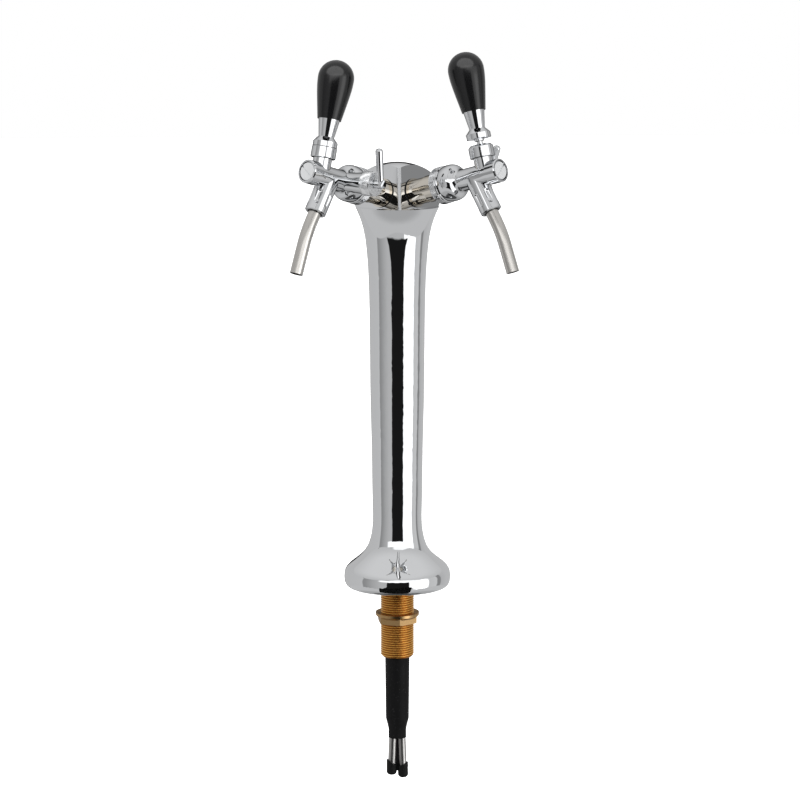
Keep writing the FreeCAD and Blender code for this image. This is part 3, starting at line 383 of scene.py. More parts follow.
def tint(tree, shader, factor, dark, light):
    """Base colour between two shades."""
    mix = tree.nodes.new("ShaderNodeMix")
    mix.data_type = "RGBA"
    link(tree, factor, mix.inputs["Factor"])
    colours = [socket for socket in mix.inputs if socket.type == "RGBA"]
    colours[0].default_value = (*dark, 1.0)
    colours[1].default_value = (*light, 1.0)
    result = [socket for socket in mix.outputs if socket.type == "RGBA"][0]
    link(tree, result, shader.inputs["Base Color"])


def shade(base, factor):
    """A colour made darker or paler."""
    return tuple(min(1.0, part * factor) for part in base)


# --- finishes ---
def chrome_finish(name, base, wave, wave_height, clean, smudged, edge=1.0):
    """Polished plate; an edge below 1 darkens it where it turns away from the eye."""
    material, shader = new_material(name, base, 1.0, clean)
    shader.inputs["Specular Tint"].default_value = (edge, edge, edge, 1.0)
    tree = material.node_tree
    marks = place_group(
        tree, GROUPS["polish"], Wave_Scale=wave, Smudge_Scale=38.0,
        Clean_Roughness=clean, Smudged_Roughness=smudged,
    )
    bump(tree, shader, marks.outputs["Height"], wave_height)
    link(tree, marks.outputs["Roughness"], shader.inputs["Roughness"])
    return material


def drawn_finish(name, base, turn, low, high):
    """Brushed or drawn metal whose lines run along a direction, with a roughness from low to high."""
    material, shader = new_material(name, base, 1.0, low)
    tree = material.node_tree
    marks = place_group(tree, GROUPS["drawn"])
    turned_vector(tree, marks, turn)
    streaks = marks.outputs["Streaks"]
    tint(tree, shader, streaks, *(shade(base, factor) for factor in STREAK_SHADES))
    link(tree, ramp(tree, streaks, *STREAK_RANGE, low, high), shader.inputs["Roughness"])
    bump(tree, shader, marks.outputs["Lines"], 0.02 * MM, strength=0.6)
    return material


def brass_finish(name, base, low, high, root=None, crest=None):
    """Bare brass; between a root and a crest radius it is darkened towards the root as painted shade, and paler at
    the crest as a painted highlight.
    """
    material, shader = new_material(name, base, 1.0, low)
    tree = material.node_tree
    marks = place_group(tree, GROUPS["grain"], Grain_Scale=1400.0, Patch_Scale=70.0)
    patch = marks.outputs["Patch"]
    if root is None:
        tint(tree, shader, patch, *(shade(base, factor) for factor in BRASS_PATCH_SHADES))
    else:
        groove = place_group(tree, GROUPS["groove"], Root=root, Crest=crest)
        # Painted shade in the thread's roots and a painted highlight on its crests.
        dark = tuple(part * share for part, share in zip(base, ROOT_PAINTED_SHADE))
        tint(tree, shader, groove.outputs["Height"], dark, shade(base, CREST_PAINTED_HIGHLIGHT))
    link(tree, ramp(tree, patch, *BRASS_PATCH_RANGE, low, high), shader.inputs["Roughness"])
    bump(tree, shader, marks.outputs["Grain"], 0.015 * MM, strength=0.5)
    return material


def moulded_finish(name, base, low, high, specular, grain_scale, grain_depth, fleck):
    """Plastic or rubber: fine grain, slow changes of gloss, and a few pale specks."""
    material, shader = new_material(name, base, 0.0, low, specular)
    tree = material.node_tree
    marks = place_group(tree, GROUPS["grain"], Grain_Scale=grain_scale, Patch_Scale=28.0)
    tint(tree, shader, marks.outputs["Specks"], base, fleck)
    gloss = ramp(tree, marks.outputs["Patch"], *MOULDED_PATCH_RANGE, low, high)
    link(tree, gloss, shader.inputs["Roughness"])
    bump(tree, shader, marks.outputs["Grain"], grain_depth, strength=0.7)
    return material


GROUPS = {}
FINISHES = {}


def make_finishes(colours, thread):
    """Makes the shader groups, then the materials of all slots."""
    GROUPS["polish"] = polish_group()
    GROUPS["grain"] = grain_group()
    GROUPS["drawn"] = brushed_group()
    GROUPS["groove"] = groove_group()
    FINISHES["column_chrome"] = chrome_finish(
        "Column chrome", colours.chrome, wave=10.0, wave_height=0.25 * MM, clean=0.02, smudged=0.045,
    )
    FINISHES["tap_chrome"] = chrome_finish(
        "Tap chrome", colours.chrome, wave=90.0, wave_height=0.012 * MM,
        clean=0.03, smudged=0.06, edge=0.15,
    )
    FINISHES["shank_nickel"] = chrome_finish(
        "Nickel plate", colours.nickel, wave=90.0, wave_height=0.006 * MM,
        clean=0.05, smudged=0.10, edge=0.15,
    )
    # A turned face is rougher than the polished plate; its paler base colour is painted light.
    FINISHES["turned_face_painted_light"] = chrome_finish(
        "Turned face painted light", TURNED_FACE_PAINTED_LIGHT, wave=90.0, wave_height=0.012 * MM, clean=0.30, smudged=0.36,
    )
    for side in SIDES:
        FINISHES["spout_steel_" + side] = drawn_finish(
            "Spout steel " + side, colours.steel, spout_turn(side), low=0.15, high=0.26,
        )
    FINISHES["line_steel"] = drawn_finish("Drawn tube", colours.tube, (0.0, 0.0, 0.0), low=0.28, high=0.42)
    # The thread gets painted shade at its roots and a painted highlight at its crests.
    FINISHES["shank_brass"] = brass_finish(
        "Threaded brass", colours.brass, low=0.36, high=0.46,
        root=thread.crest - thread.depth, crest=thread.crest,
    )
    FINISHES["nut_brass"] = brass_finish("Lock nut brass", colours.nut, low=0.30, high=0.46)
    FINISHES["inner_brass"] = brass_finish("Inner brass", colours.nut, low=0.25, high=0.40)
    FINISHES["knob_black"] = moulded_finish(
        "Knob black", colours.knob, low=0.16, high=0.22, specular=0.42,
        grain_scale=1500.0, grain_depth=0.01 * MM, fleck=shade(colours.knob, 2.0),
    )
    FINISHES["cap_rubber"] = moulded_finish(
        "Cap rubber", colours.rubber, low=0.45, high=0.60, specular=0.15,
        grain_scale=1100.0, grain_depth=0.04 * MM, fleck=(0.02, 0.02, 0.02),
    )
    FINISHES["seal_rubber"] = moulded_finish(
        "Seal rubber", colours.rubber, low=0.55, high=0.70, specular=0.25,
        grain_scale=1300.0, grain_depth=0.03 * MM, fleck=(0.012, 0.012, 0.012),
    )
    FINISHES["sleeve_foam"] = moulded_finish(
        "Sleeve foam", colours.foam, low=0.48, high=0.66, specular=0.10,
        grain_scale=700.0, grain_depth=0.06 * MM, fleck=(0.02, 0.02, 0.021),
    )
    FINISHES["cone_plastic"] = moulded_finish(
        "Cone plastic", colours.plain, low=0.40, high=0.50, specular=0.5,
        grain_scale=900.0, grain_depth=0.02 * MM, fleck=(0.6, 0.6, 0.58),
    )


def finish_for(node):
    """The material of a CAD node's slot; each spout has its own, drawn along its tube."""
    slot = SLOT_OF[node]
    if slot == "spout_steel":
        return FINISHES["spout_steel_" + node.rsplit("_", 1)[1]]
    return FINISHES[slot]


# --- places on the tower ---
def joint_named(name):
    return next(joint for joint in frame["joints"] if joint["name"] == name)


def tap_matrix(side):
    """The tap face's frame: origin at the shank's centre, X outwards, Y to the tap's left, Z up."""
    across = Vector(joint_named("handle_tilt_" + side)["axis"]).normalized()
    out = Vector(joint_named("valve_travel_" + side)["axis"]).normalized()
    up = out.cross(across)
    origin = Vector(joint_named("lever_turn_" + side)["pos_m"]) - out * TURRET_AT
    return Matrix.Translation(origin) @ Matrix((out, across, up)).transposed().to_4x4()


def spout_turn(side):
    """Euler turn that lays the pattern's Z along the spout."""
    mount = next(m for m in RECORD["mounts"] if m["name"] == "spout_outlet_" + side)
    return tuple(Vector(mount["axis"]).to_track_quat("Z", "Y").inverted().to_euler())


# --- mesh tools ---
def add_object(name, data):
    """A new object in the scene."""
    added = bpy.data.objects.new(name, data)
    bpy.context.scene.collection.objects.link(added)
    return added


def finished(node):
    """The copy of a CAD node that is shown."""
    return bpy.data.objects[node + "_finished"]


def rework(mesh, edit, sharp):
    """Edits a mesh and smooths its faces; its edges stay sharp from an angle on."""
    work = bmesh.new()
    work.from_mesh(mesh)
    edit(work)
    for face in work.faces:
        face.smooth = True
    work.to_mesh(mesh)
    work.free()
    mesh.set_sharp_from_angle(angle=sharp)


def smooth_copy(node):
    """A copy of a CAD node with its triangles joined, smooth except at its real edges."""
    mesh = frame["nodes"][node].data.copy()
    for attribute in [a for a in mesh.attributes if a.name in ("custom_normal", "sharp_edge", "sharp_face")]:
        mesh.attributes.remove(attribute)
    rework(mesh, lambda work: bmesh.ops.remove_doubles(work, verts=work.verts, dist=WELD), SHARP_CAST)
    mesh.materials.clear()
    mesh.materials.append(finish_for(node))
    piece = add_object(node + "_finished", mesh)
    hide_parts(node)
    settle(piece, BODY_OF[node])
    return piece


def settle(piece, body):
    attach(piece, body)


def finish_nodes(names):
    for name in names:
        smooth_copy(name)


def on_both_sides(*names):
    return [name + "_" + side for name in names for side in SIDES]


def face_outwards(mesh):
    rework(mesh, lambda work: bmesh.ops.recalc_face_normals(work, faces=work.faces), SHARP_MADE)


def add_fixed(name, corners, faces, finish):
    """A piece of the tower made from corners and faces."""
    mesh = bpy.data.meshes.new(name)
    mesh.from_pydata(corners, [], faces)
    mesh.materials.append(FINISHES[finish])
    face_outwards(mesh)
    settle(add_object(name, mesh), "tower")


# --- geometry node tools ---
class NodeMaker:
    """Builds one Geometry Nodes tree with named inputs."""

    def __init__(self, name, numbers, integers):
        self.tree = bpy.data.node_groups.new(name, "GeometryNodeTree")
        self.tree.interface.new_socket("Geometry", in_out="INPUT", socket_type="NodeSocketGeometry")
        self.tree.interface.new_socket("Geometry", in_out="OUTPUT", socket_type="NodeSocketGeometry")
        self.keys = {}
        kinds = {**dict.fromkeys(numbers, "NodeSocketFloat"), **dict.fromkeys(integers, "NodeSocketInt")}
        for label, kind in kinds.items():
            socket = self.tree.interface.new_socket(label, in_out="INPUT", socket_type=kind)
            self.keys[label] = socket.identifier
        self.given = self.tree.nodes.new("NodeGroupInput").outputs
        self.out = self.tree.nodes.new("NodeGroupOutput").inputs

    def math(self, operation, *values):
        return math_node(self.tree, operation, *values)

    def ramp(self, value, low, high, to_low=0.0, to_high=1.0, smooth=False):
        return ramp(self.tree, value, low, high, to_low, to_high, smooth)

    def node(self, kind, **links):
        node = self.tree.nodes.new(kind)
        for name, value in links.items():
            link(self.tree, value, node.inputs[name.replace("_", " ")])
        return node

    def finish(self, geometry, material):
        """Realize Instances, Set Material and the output."""
        real = self.node("GeometryNodeRealizeInstances", Geometry=geometry)
        dressed = self.node("GeometryNodeSetMaterial", Geometry=real.outputs["Geometry"])
        dressed.inputs["Material"].default_value = material
        link(self.tree, dressed.outputs["Geometry"], self.out["Geometry"])


def values_of(settings):
    """The settings of a property group, by name."""
    return {name: getattr(settings, name) for name in type(settings).__annotations__}


def plain_mesh(maker, name, values):
    """Runs a tree on an empty mesh and keeps the result as a plain mesh."""
    holder = add_object(name + "_tree", bpy.data.meshes.new(name + "_tree"))
    modifier = holder.modifiers.new("Nodes", "NODES")
    modifier.node_group = maker.tree
    for label, value in values.items():
        modifier[maker.keys[label]] = value
    bpy.context.view_layer.update()
    evaluated = holder.evaluated_get(bpy.context.evaluated_depsgraph_get())
    mesh = bpy.data.meshes.new_from_object(evaluated)
    bpy.data.objects.remove(holder)
    mesh.name = name
    return mesh


def thread_maker(material):
    """A tube with a helical thread outside, a plain bore and a lead-in at its lower end."""
    numbers = ("pitch", "crest", "depth", "bore", "chamfer", "bottom", "top")
    maker = NodeMaker("Thread", numbers, ("facets", "rows"))
    given = maker.given
    calc = maker.math
    columns = calc("ADD", given["facets"], 1)
    lines = calc("ADD", given["rows"], 3)
    grid = maker.node("GeometryNodeMeshGrid", Vertices_X=columns, Vertices_Y=lines, Size_X=1.0, Size_Y=1.0)
    place = maker.node("ShaderNodeSeparateXYZ", Vector=maker.node("GeometryNodeInputPosition").outputs[0])
    angle = calc("MULTIPLY", calc("ADD", place.outputs["X"], 0.5), FULL_TURN)
    # Below the thread's own rows is one at the bore's lower end. Above them is one at the bore's upper end,
    # and the last is merged with the first.
    rows_wide = calc("SUBTRACT", lines, 1)
    row = calc("ROUND", calc("MULTIPLY", calc("ADD", place.outputs["Y"], 0.5), rows_wide))
    share = maker.ramp(row, 1.0, calc("SUBTRACT", lines, 3))
    last = calc("COMPARE", row, rows_wide, 0.1)
    share = calc("MULTIPLY", share, calc("SUBTRACT", 1.0, last))
    height = maker.ramp(share, 0.0, 1.0, given["bottom"], given["top"])
    risen = calc("DIVIDE", height, given["pitch"])
    turns = calc("SUBTRACT", risen, calc("DIVIDE", angle, FULL_TURN))
    phase = calc("FRACT", turns)
    slope = calc("ABSOLUTE", calc("SUBTRACT", calc("MULTIPLY", phase, 2.0), 1.0))
    form = maker.ramp(slope, *THREAD_FLANK, smooth=True)
    root = calc("SUBTRACT", given["crest"], given["depth"])
    flank = calc("ADD", root, calc("MULTIPLY", form, given["depth"]))
    above = calc("SUBTRACT", height, given["bottom"])
    lead = calc("ADD", calc("SUBTRACT", given["crest"], given["chamfer"]), above)
    outside = calc("MINIMUM", flank, lead)
    first = calc("LESS_THAN", row, 0.5)
    beyond = calc("GREATER_THAN", row, calc("SUBTRACT", lines, 2.5))
    inside = calc("MAXIMUM", first, beyond)
    radius = maker.ramp(inside, 0.0, 1.0, outside, given["bore"])
    spot = maker.node(
        "ShaderNodeCombineXYZ",
        X=calc("MULTIPLY", radius, calc("COSINE", angle)),
        Y=calc("MULTIPLY", radius, calc("SINE", angle)),
        Z=height,
    )
    moved = maker.node(
        "GeometryNodeSetPosition", Geometry=grid.outputs["Mesh"], Position=spot.outputs["Vector"],
    )
    merged = maker.node("GeometryNodeMergeByDistance", Geometry=moved.outputs["Geometry"], Distance=WELD)
    maker.finish(merged.outputs["Geometry"], material)
    return maker


def knurl_maker(material):
    """Rows of small points round a band, set in quincunx, with bare ground round the spanner holes."""
    numbers = ("radius", "start", "end", "height", "hole_at", "hole_radius", "hole_turn")
    maker = NodeMaker("Knurl", numbers, ("across", "along"))
    given = maker.given
    calc = maker.math
    grid = maker.node(
        "GeometryNodeMeshGrid", Vertices_X=given["across"], Vertices_Y=given["along"], Size_X=1.0, Size_Y=1.0,
    )
    points = maker.node("GeometryNodeMeshToPoints", Mesh=grid.outputs["Mesh"])
    place = maker.node("ShaderNodeSeparateXYZ", Vector=maker.node("GeometryNodeInputPosition").outputs[0])
    row_gaps = calc("SUBTRACT", given["along"], 1)
    row = calc("ROUND", calc("MULTIPLY", calc("ADD", place.outputs["Y"], 0.5), row_gaps))
    column_gaps = calc("SUBTRACT", given["across"], 1)
    column = calc("ROUND", calc("MULTIPLY", calc("ADD", place.outputs["X"], 0.5), column_gaps))
    stagger = calc("MULTIPLY", calc("MODULO", row, 2.0), 0.5)
    turn = calc("MULTIPLY", calc("DIVIDE", calc("ADD", column, stagger), given["across"]), FULL_TURN)
    along = maker.ramp(place.outputs["Y"], -0.5, 0.5, given["start"], given["end"])
    # The holes stand at quarter turns, so one distance round the nut serves all four.
    half_way = FULL_TURN / 8
    offset = calc("SUBTRACT", turn, given["hole_turn"])
    wrapped = calc("WRAP", offset, half_way, -half_way)
    arc = calc("MULTIPLY", wrapped, given["radius"])
    ahead = calc("SUBTRACT", along, given["hole_at"])
    squares = calc("ADD", calc("MULTIPLY", arc, arc), calc("MULTIPLY", ahead, ahead))
    bare = calc("LESS_THAN", calc("SQRT", squares), given["hole_radius"])
    # A turn about the barrel carries Z towards -Y.
    sideways = calc("MULTIPLY", calc("SINE", turn), -1.0)
    upwards = calc("COSINE", turn)
    spot = maker.node(
        "ShaderNodeCombineXYZ", X=along,
        Y=calc("MULTIPLY", sideways, given["radius"]),
        Z=calc("MULTIPLY", upwards, given["radius"]),
    )
    kept = maker.node("GeometryNodeDeleteGeometry", Geometry=points.outputs["Points"], Selection=bare)
    spread = maker.node(
        "GeometryNodeSetPosition", Geometry=kept.outputs["Geometry"], Position=spot.outputs["Vector"],
    )
    point = maker.node(
        "GeometryNodeMeshCone", Vertices=4, Radius_Top=0.0,
        Radius_Bottom=calc("MULTIPLY", given["height"], POINT_SPREAD), Depth=given["height"],
    )
    point.fill_type = "NONE"
    # A point's place decides its turn: away from the barrel's axis.
    after = maker.node("ShaderNodeSeparateXYZ", Vector=maker.node("GeometryNodeInputPosition").outputs[0])
    radial = maker.node("ShaderNodeCombineXYZ", X=0.0, Y=after.outputs["Y"], Z=after.outputs["Z"])
    turned = maker.node("FunctionNodeAlignRotationToVector", Vector=radial.outputs["Vector"])
    set_on = maker.node(
        "GeometryNodeInstanceOnPoints", Points=spread.outputs["Geometry"], Instance=point.outputs["Mesh"],
        Rotation=turned.outputs["Rotation"],
    )
    maker.finish(set_on.outputs["Instances"], material)
    return maker


# --- operators ---
class Finisher:
    """What the operators share: each can be undone."""

    bl_options = {"REGISTER", "UNDO"}


class TOWER_OT_finishes(Finisher, bpy.types.Operator):
    """Makes the materials that the pieces share."""

    bl_idname = "tower.finishes"
    bl_label = "Make the finishes"

    def execute(self, context):
        make_finishes(context.scene.tower_colours, context.scene.tower_thread)
        return {"FINISHED"}


class TOWER_OT_column(Finisher, bpy.types.Operator):
    """Polishes the column and sets its base seal."""

    bl_idname = "tower.column"
    bl_label = "Column"

    def execute(self, context):
        finish_nodes(["tower_column", "base_seal"])
        return {"FINISHED"}


class TOWER_OT_fixing(Finisher, bpy.types.Operator):
    """Cuts the thread on the shank and finishes the lock nut."""

    bl_idname = "tower.fixing"
    bl_label = "Threaded shank and lock nut"

    def execute(self, context):
        sizes = context.scene.tower_thread
        low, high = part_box("threaded_shank")
        turns = (high.z - low.z) / sizes.pitch
        maker = thread_maker(FINISHES["shank_brass"])
        values = values_of(sizes)
        values.update(bottom=low.z, top=high.z, rows=int(turns * sizes.rows))
        mesh = plain_mesh(maker, "threaded_shank_cut", values)
        face_outwards(mesh)
        piece = add_object("threaded_shank_cut", mesh)
        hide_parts("threaded_shank")
        settle(piece, BODY_OF["threaded_shank"])
        finish_nodes(["lock_nut"])
        return {"FINISHED"}


class TOWER_OT_lines(Finisher, bpy.types.Operator):
    """Finishes the insulation sleeve, the feed lines and their caps."""

    bl_idname = "tower.lines"
    bl_label = "Sleeve, lines and caps"

    def execute(self, context):
        finish_nodes(["insulation_sleeve"] + on_both_sides("beer_line", "line_cap"))
        lay_web()
        return {"FINISHED"}


def lay_web():
    """A dark strip that fills the gap between the two lines, from the sleeve to the caps, so that the gap shows
    dark.
    """
    sleeve_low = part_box("insulation_sleeve")[0].z
    cap_low, cap_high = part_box("line_cap_left")
    heights = (sleeve_low + WEB_TUCK, cap_high.z, cap_low.z + WEB_STOP)
    corners = []
    for z, half in zip(heights, WEB_HALVES):
        corners += [(-half, WEB_BACK, z), (half, WEB_BACK, z), (half, WEB_FRONT, z), (-half, WEB_FRONT, z)]
    # Three rows of four corners, from the top down.
    faces = [(3, 2, 1, 0), (8, 9, 10, 11)]
    for row in (0, 4):
        for k in range(4):
            beside = (k + 1) % 4
            faces.append((row + k, row + beside, row + 4 + beside, row + 4 + k))
    add_fixed("line_web", corners, faces, "sleeve_foam")


class TOWER_OT_shanks(Finisher, bpy.types.Operator):
    """Finishes the tap shanks, their seals and the coupling nuts."""

    bl_idname = "tower.shanks"
    bl_label = "Shanks and coupling nuts"

    def execute(self, context):
        finish_nodes(on_both_sides("tap_shank", "shank_backnut", "coupling_nut", "coupling_seal"))
        for side in SIDES:
            bonded_washer(side)
        return {"FINISHED"}


def bonded_washer(side):
    """The seal at the tap face: rubber at its edge, plated on the rings that face along the shank."""
    washer = smooth_copy("shank_seal_" + side).data
    washer.materials.append(FINISHES["shank_nickel"])
    along = tap_matrix(side).to_3x3().col[0]
    for face in washer.polygons:
        if abs(face.normal.dot(along)) > WASHER_FLAT:
            face.material_index = 1


class TOWER_OT_knurls(Finisher, bpy.types.Operator):
    """Rolls the knurl on the coupling nuts."""

    bl_idname = "tower.knurls"
    bl_label = "Coupling knurls"

    def execute(self, context):
        maker = knurl_maker(FINISHES["tap_chrome"])
        for side in SIDES:
            name = "coupling_knurl_" + side
            mesh = plain_mesh(maker, name, values_of(context.scene.tower_knurl))
            mesh.transform(tap_matrix(side))
            piece = add_object(name, mesh)
            settle(piece, BODY_OF["coupling_nut_" + side])
        return {"FINISHED"}


class TOWER_OT_faucets(Finisher, bpy.types.Operator):
    """Finishes the faucet bodies, their plugs, bonnets and inner pieces."""

    bl_idname = "tower.faucets"
    bl_label = "Faucets"

    def execute(self, context):
        finish_nodes(on_both_sides("faucet_body", "front_plug", "bonnet_nut", "ball_washer"))
        finish_nodes(on_both_sides("piston", "piston_seal", "piston_o_ring"))
        for side in SIDES:
            screw_in_plug(side)
        return {"FINISHED"}


def screw_in_plug(side):
    """Turns the plug in its bore, a little narrower than it, and gives it a turned finish, rougher than the barrel
    and with a paler base colour as painted light.
    """
    place = tap_matrix(side)
    mesh = finished("front_plug_" + side).data
    turn = Matrix.Rotation(PLUG_TURN[side], 4, "X")
    shrink = Matrix.Diagonal((1.0, PLUG_SHARE, PLUG_SHARE, 1.0))
    mesh.transform(place @ turn @ shrink @ place.inverted())
    mesh.materials[0] = FINISHES["turned_face_painted_light"]


class TOWER_OT_spouts(Finisher, bpy.types.Operator):
    """Brushes the spout tubes and sets their seals."""

    bl_idname = "tower.spouts"
    bl_label = "Spouts"

    def execute(self, context):
        finish_nodes(on_both_sides("spout", "spout_seal"))
        return {"FINISHED"}


class TOWER_OT_flow_levers(Finisher, bpy.types.Operator):
    """Finishes the flow levers with their glands and cones."""

    bl_idname = "tower.flow_levers"
    bl_label = "Flow levers"

    def execute(self, context):
        finish_nodes(on_both_sides("compensator_gland", "compensator_lever", "flow_cone"))
        for side in SIDES:
            fit_skirt(side)
        return {"FINISHED"}


def fit_skirt(side):
    """Draws the gland back over the turret's end, as a long nut with a turned finish whose paler base colour is
    painted light.
    """
    gland = finished("compensator_gland_" + side).data
    gland.materials[0] = FINISHES["turned_face_painted_light"]
    place = tap_matrix(side)
    inwards = place.inverted()
    points = [inwards @ vertex.co for vertex in gland.vertices]
    start = min(point.y for point in points)
    end = start - SKIRT_LENGTH
    middle = (min(point.x for point in points) + max(point.x for point in points)) / 2
    radius = max(point.z for point in points)
    outline = (
        (radius - SKIRT_WALL, end),
        (radius - SKIRT_CHAMFER, end),
        (radius, end + SKIRT_CHAMFER),
        (radius, start),
        (radius - SKIRT_WALL, start),
    )
    corners = []
    for k in range(SKIRT_STEPS):
        angle = FULL_TURN * k / SKIRT_STEPS
        for out, along in outline:
            corners.append(place @ Vector((middle + out * math.cos(angle), along, out * math.sin(angle))))
    count = len(outline)
    faces = []
    for k in range(SKIRT_STEPS):
        here = k * count
        there = (k + 1) % SKIRT_STEPS * count
        for n in range(count):
            m = (n + 1) % count
            faces.append((here + n, here + m, there + m, there + n))
    add_fixed("gland_skirt_" + side, corners, faces, "turned_face_painted_light")


class TOWER_OT_handles(Finisher, bpy.types.Operator):
    """Finishes the handles: stem, rosette, ferrule and knob."""

    bl_idname = "tower.handles"
    bl_label = "Handles"

    def execute(self, context):
        finish_nodes(on_both_sides("lever_stem", "rosette", "ferrule", "knob"))
        return {"FINISHED"}


class TOWER_OT_stage(Finisher, bpy.types.Operator):
    """Lays the floor and sets the studio light and the camera."""

    bl_idname = "tower.stage"
    bl_label = "Stage"

    def execute(self, context):
        studio = context.scene.tower_studio
        make_floor(studio)
        make_surroundings(context.scene, studio)
        hang_card()
        hang_overhead()
        light_details()
        make_camera(context.scene, studio)
        context.scene.view_settings.view_transform = "Standard"
        return {"FINISHED"}


# --- stage ---
def add_sheet(name, corners, material):
    """One flat face that belongs to the stage."""
    mesh = bpy.data.meshes.new(name)
    mesh.from_pydata(corners, [], [tuple(range(len(corners)))])
    mesh.materials.append(material)
    sheet = add_object(name, mesh)
    return sheet


def make_floor(studio):
    """A pale floor that gives off some light; the chrome doesn't see it."""
    material, shader = new_material("Floor", FLOOR_TINT, 0.0, 0.9, specular=0.0)
    shader.inputs["Emission Strength"].default_value = studio.floor_glow
    ends = [(-1, -1), (1, -1), (1, 1), (-1, 1)]
    corners = [(x * FLOOR_HALF, y * FLOOR_HALF, studio.floor_z) for x, y in ends]
    add_sheet("floor", corners, material).visible_glossy = False


def window(tree, value, low, high, soft):
    """1 between two values and 0 outside them, with soft edges."""
    rise = ramp(tree, value, low - soft, low + soft)
    fall = ramp(tree, value, high - soft, high + soft, 1.0, 0.0)
    return math_node(tree, "MULTIPLY", rise, fall)


def layer(tree, under, mask, level):
    """Puts a level over what is under it, where the mask is 1."""
    mix = tree.nodes.new("ShaderNodeMix")
    link(tree, mask, mix.inputs["Factor"])
    link(tree, under, mix.inputs["A"])
    link(tree, level, mix.inputs["B"])
    return mix.outputs["Result"]


def sky_axes(tree):
    """The direction looked in: X, Y, azimuth, elevation, and elevation as a flat softbox bows it."""
    direction = tree.nodes.new("ShaderNodeTexCoord").outputs["Generated"]
    axes = tree.nodes.new("ShaderNodeSeparateXYZ")
    link(tree, direction, axes.inputs["Vector"])
    x, y, z = (axes.outputs[k] for k in "XYZ")
    azimuth = math_node(tree, "ARCTAN2", x, math_node(tree, "MULTIPLY", y, -1.0))
    azimuth = math_node(tree, "MULTIPLY", azimuth, 180 / math.pi)
    elevation = math_node(tree, "MULTIPLY", math_node(tree, "ARCSINE", z), 180 / math.pi)
    bow = math_node(tree, "MULTIPLY", math_node(tree, "MULTIPLY", x, x), BOW)
    flat = math_node(tree, "MULTIPLY", elevation, math_node(tree, "ADD", bow, 1.0))
    return x, y, azimuth, elevation, flat


def stripe_level(tree, azimuth):
    """The softboxes' brightness from left to right."""
    stripes = tree.nodes.new("ShaderNodeValToRGB")
    link(tree, ramp(tree, azimuth, -180.0, 180.0, smooth=False), stripes.inputs["Fac"])
    stops = stripes.color_ramp.elements
    while len(stops) > 1:
        stops.remove(stops[-1])
    for index, (place, value) in enumerate(STRIPES):
        stop = stops[0] if index == 0 else stops.new((place + 180) / 360)
        stop.position = (place + 180) / 360
        stop.color = (value / BRIGHTEST,) * 3 + (1.0,)
    return math_node(tree, "MULTIPLY", stripes.outputs["Color"], BRIGHTEST)


def make_surroundings(scene, studio):
    """The sky as a studio: softboxes with a dark gap between them, grey walls and a paler ceiling."""
    world = bpy.data.worlds.new("Studio")
    scene.world = world
    world.use_nodes = True
    tree = world.node_tree
    tree.nodes.clear()
    x, y, azimuth, elevation, flat = sky_axes(tree)

    def both(first, second):
        return math_node(tree, "MULTIPLY", first, second)

    def patch(first, first_window, second, second_window):
        return both(window(tree, first, *first_window), window(tree, second, *second_window))

    level = ramp(tree, elevation, *GROUND_FADE, studio.around * GROUND_SHARE, studio.around)
    level = layer(tree, level, ramp(tree, elevation, *PIT_FADE), PIT_LEVEL)
    level = layer(tree, level, ramp(tree, elevation, *CEILING_FADE), studio.overhead)
    for frame_round in FRAMES:
        level = layer(tree, level, patch(flat, FRAME_HEIGHT, azimuth, frame_round), FRAME_LEVEL)
    level = layer(tree, level, window(tree, flat, *BOX_HEIGHT), stripe_level(tree, azimuth))
    level = layer(tree, level, patch(elevation, STRIP_HEIGHT, azimuth, STRIP_ROUND), studio.strip)
    level = layer(tree, level, patch(flat, THIN_HEIGHT, azimuth, THIN_ROUND), THIN_LEVEL)

    funnel = both(azimuth, ramp(tree, elevation, *FUNNEL_FADE, *FUNNEL_SHARES))
    level = layer(tree, level, patch(funnel, GAP_ROUND, elevation, GAP_HEIGHT), studio.dark)

    # The seam between the ceiling's two panels, from the front up to the zenith.
    front = both(ramp(tree, y, *FRONT_FADE, 1.0, 0.0), ramp(tree, elevation, *SEAM_FADE))
    level = layer(tree, level, both(window(tree, x, *SEAM_DARK), front), SEAM_DARK_LEVEL)
    level = layer(tree, level, both(window(tree, x, *SEAM_BRIGHT), front), SEAM_BRIGHT_LEVEL)

    # Behind: a narrow gap at eye level.
    back = math_node(tree, "ABSOLUTE", azimuth)
    level = layer(tree, level, patch(back, BACK_ROUND, elevation, BACK_HEIGHT), BACK_LEVEL)

    path = tree.nodes.new("ShaderNodeLightPath")
    level = layer(tree, level, path.outputs["Is Diffuse Ray"], MATT_LEVEL)
    level = layer(tree, level, path.outputs["Is Camera Ray"], SEEN_LEVEL)
    background = tree.nodes.new("ShaderNodeBackground")
    link(tree, level, background.inputs["Color"])
    output = tree.nodes.new("ShaderNodeOutputWorld")
    link(tree, background.outputs["Background"], output.inputs["Surface"])


def hang_card():
    """A dark card below the foot, which only reflections see."""
    material = new_material("Dark card", CARD_TINT, 0.0, 1.0, specular=0.0)[0]
    card = add_sheet("dark_card", [(x, CARD_DEPTH, z) for x, z in CARD_OUTLINE], material)
    card.visible_camera = False
    card.visible_diffuse = False
    card.visible_shadow = False


def aim(thing, place, target):
    """Puts a lamp or the camera at a place and points it at a target."""
    thing.location = place
    thing.rotation_mode = "QUATERNION"
    thing.rotation_quaternion = (Vector(target) - Vector(place)).to_track_quat("-Z", "Y")


def hang_overhead():
    """The softbox overhead, for matt surfaces; the chrome sees the sky's instead."""
    light = bpy.data.lights.new("Overhead softbox", "AREA")
    light.shape = "DISK"
    light.size = OVERHEAD_SIZE
    light.energy = OVERHEAD_ENERGY
    lamp = add_object("Overhead softbox", light)
    aim(lamp, OVERHEAD_PLACE, OVERHEAD_TARGET)
    lamp.visible_glossy = False


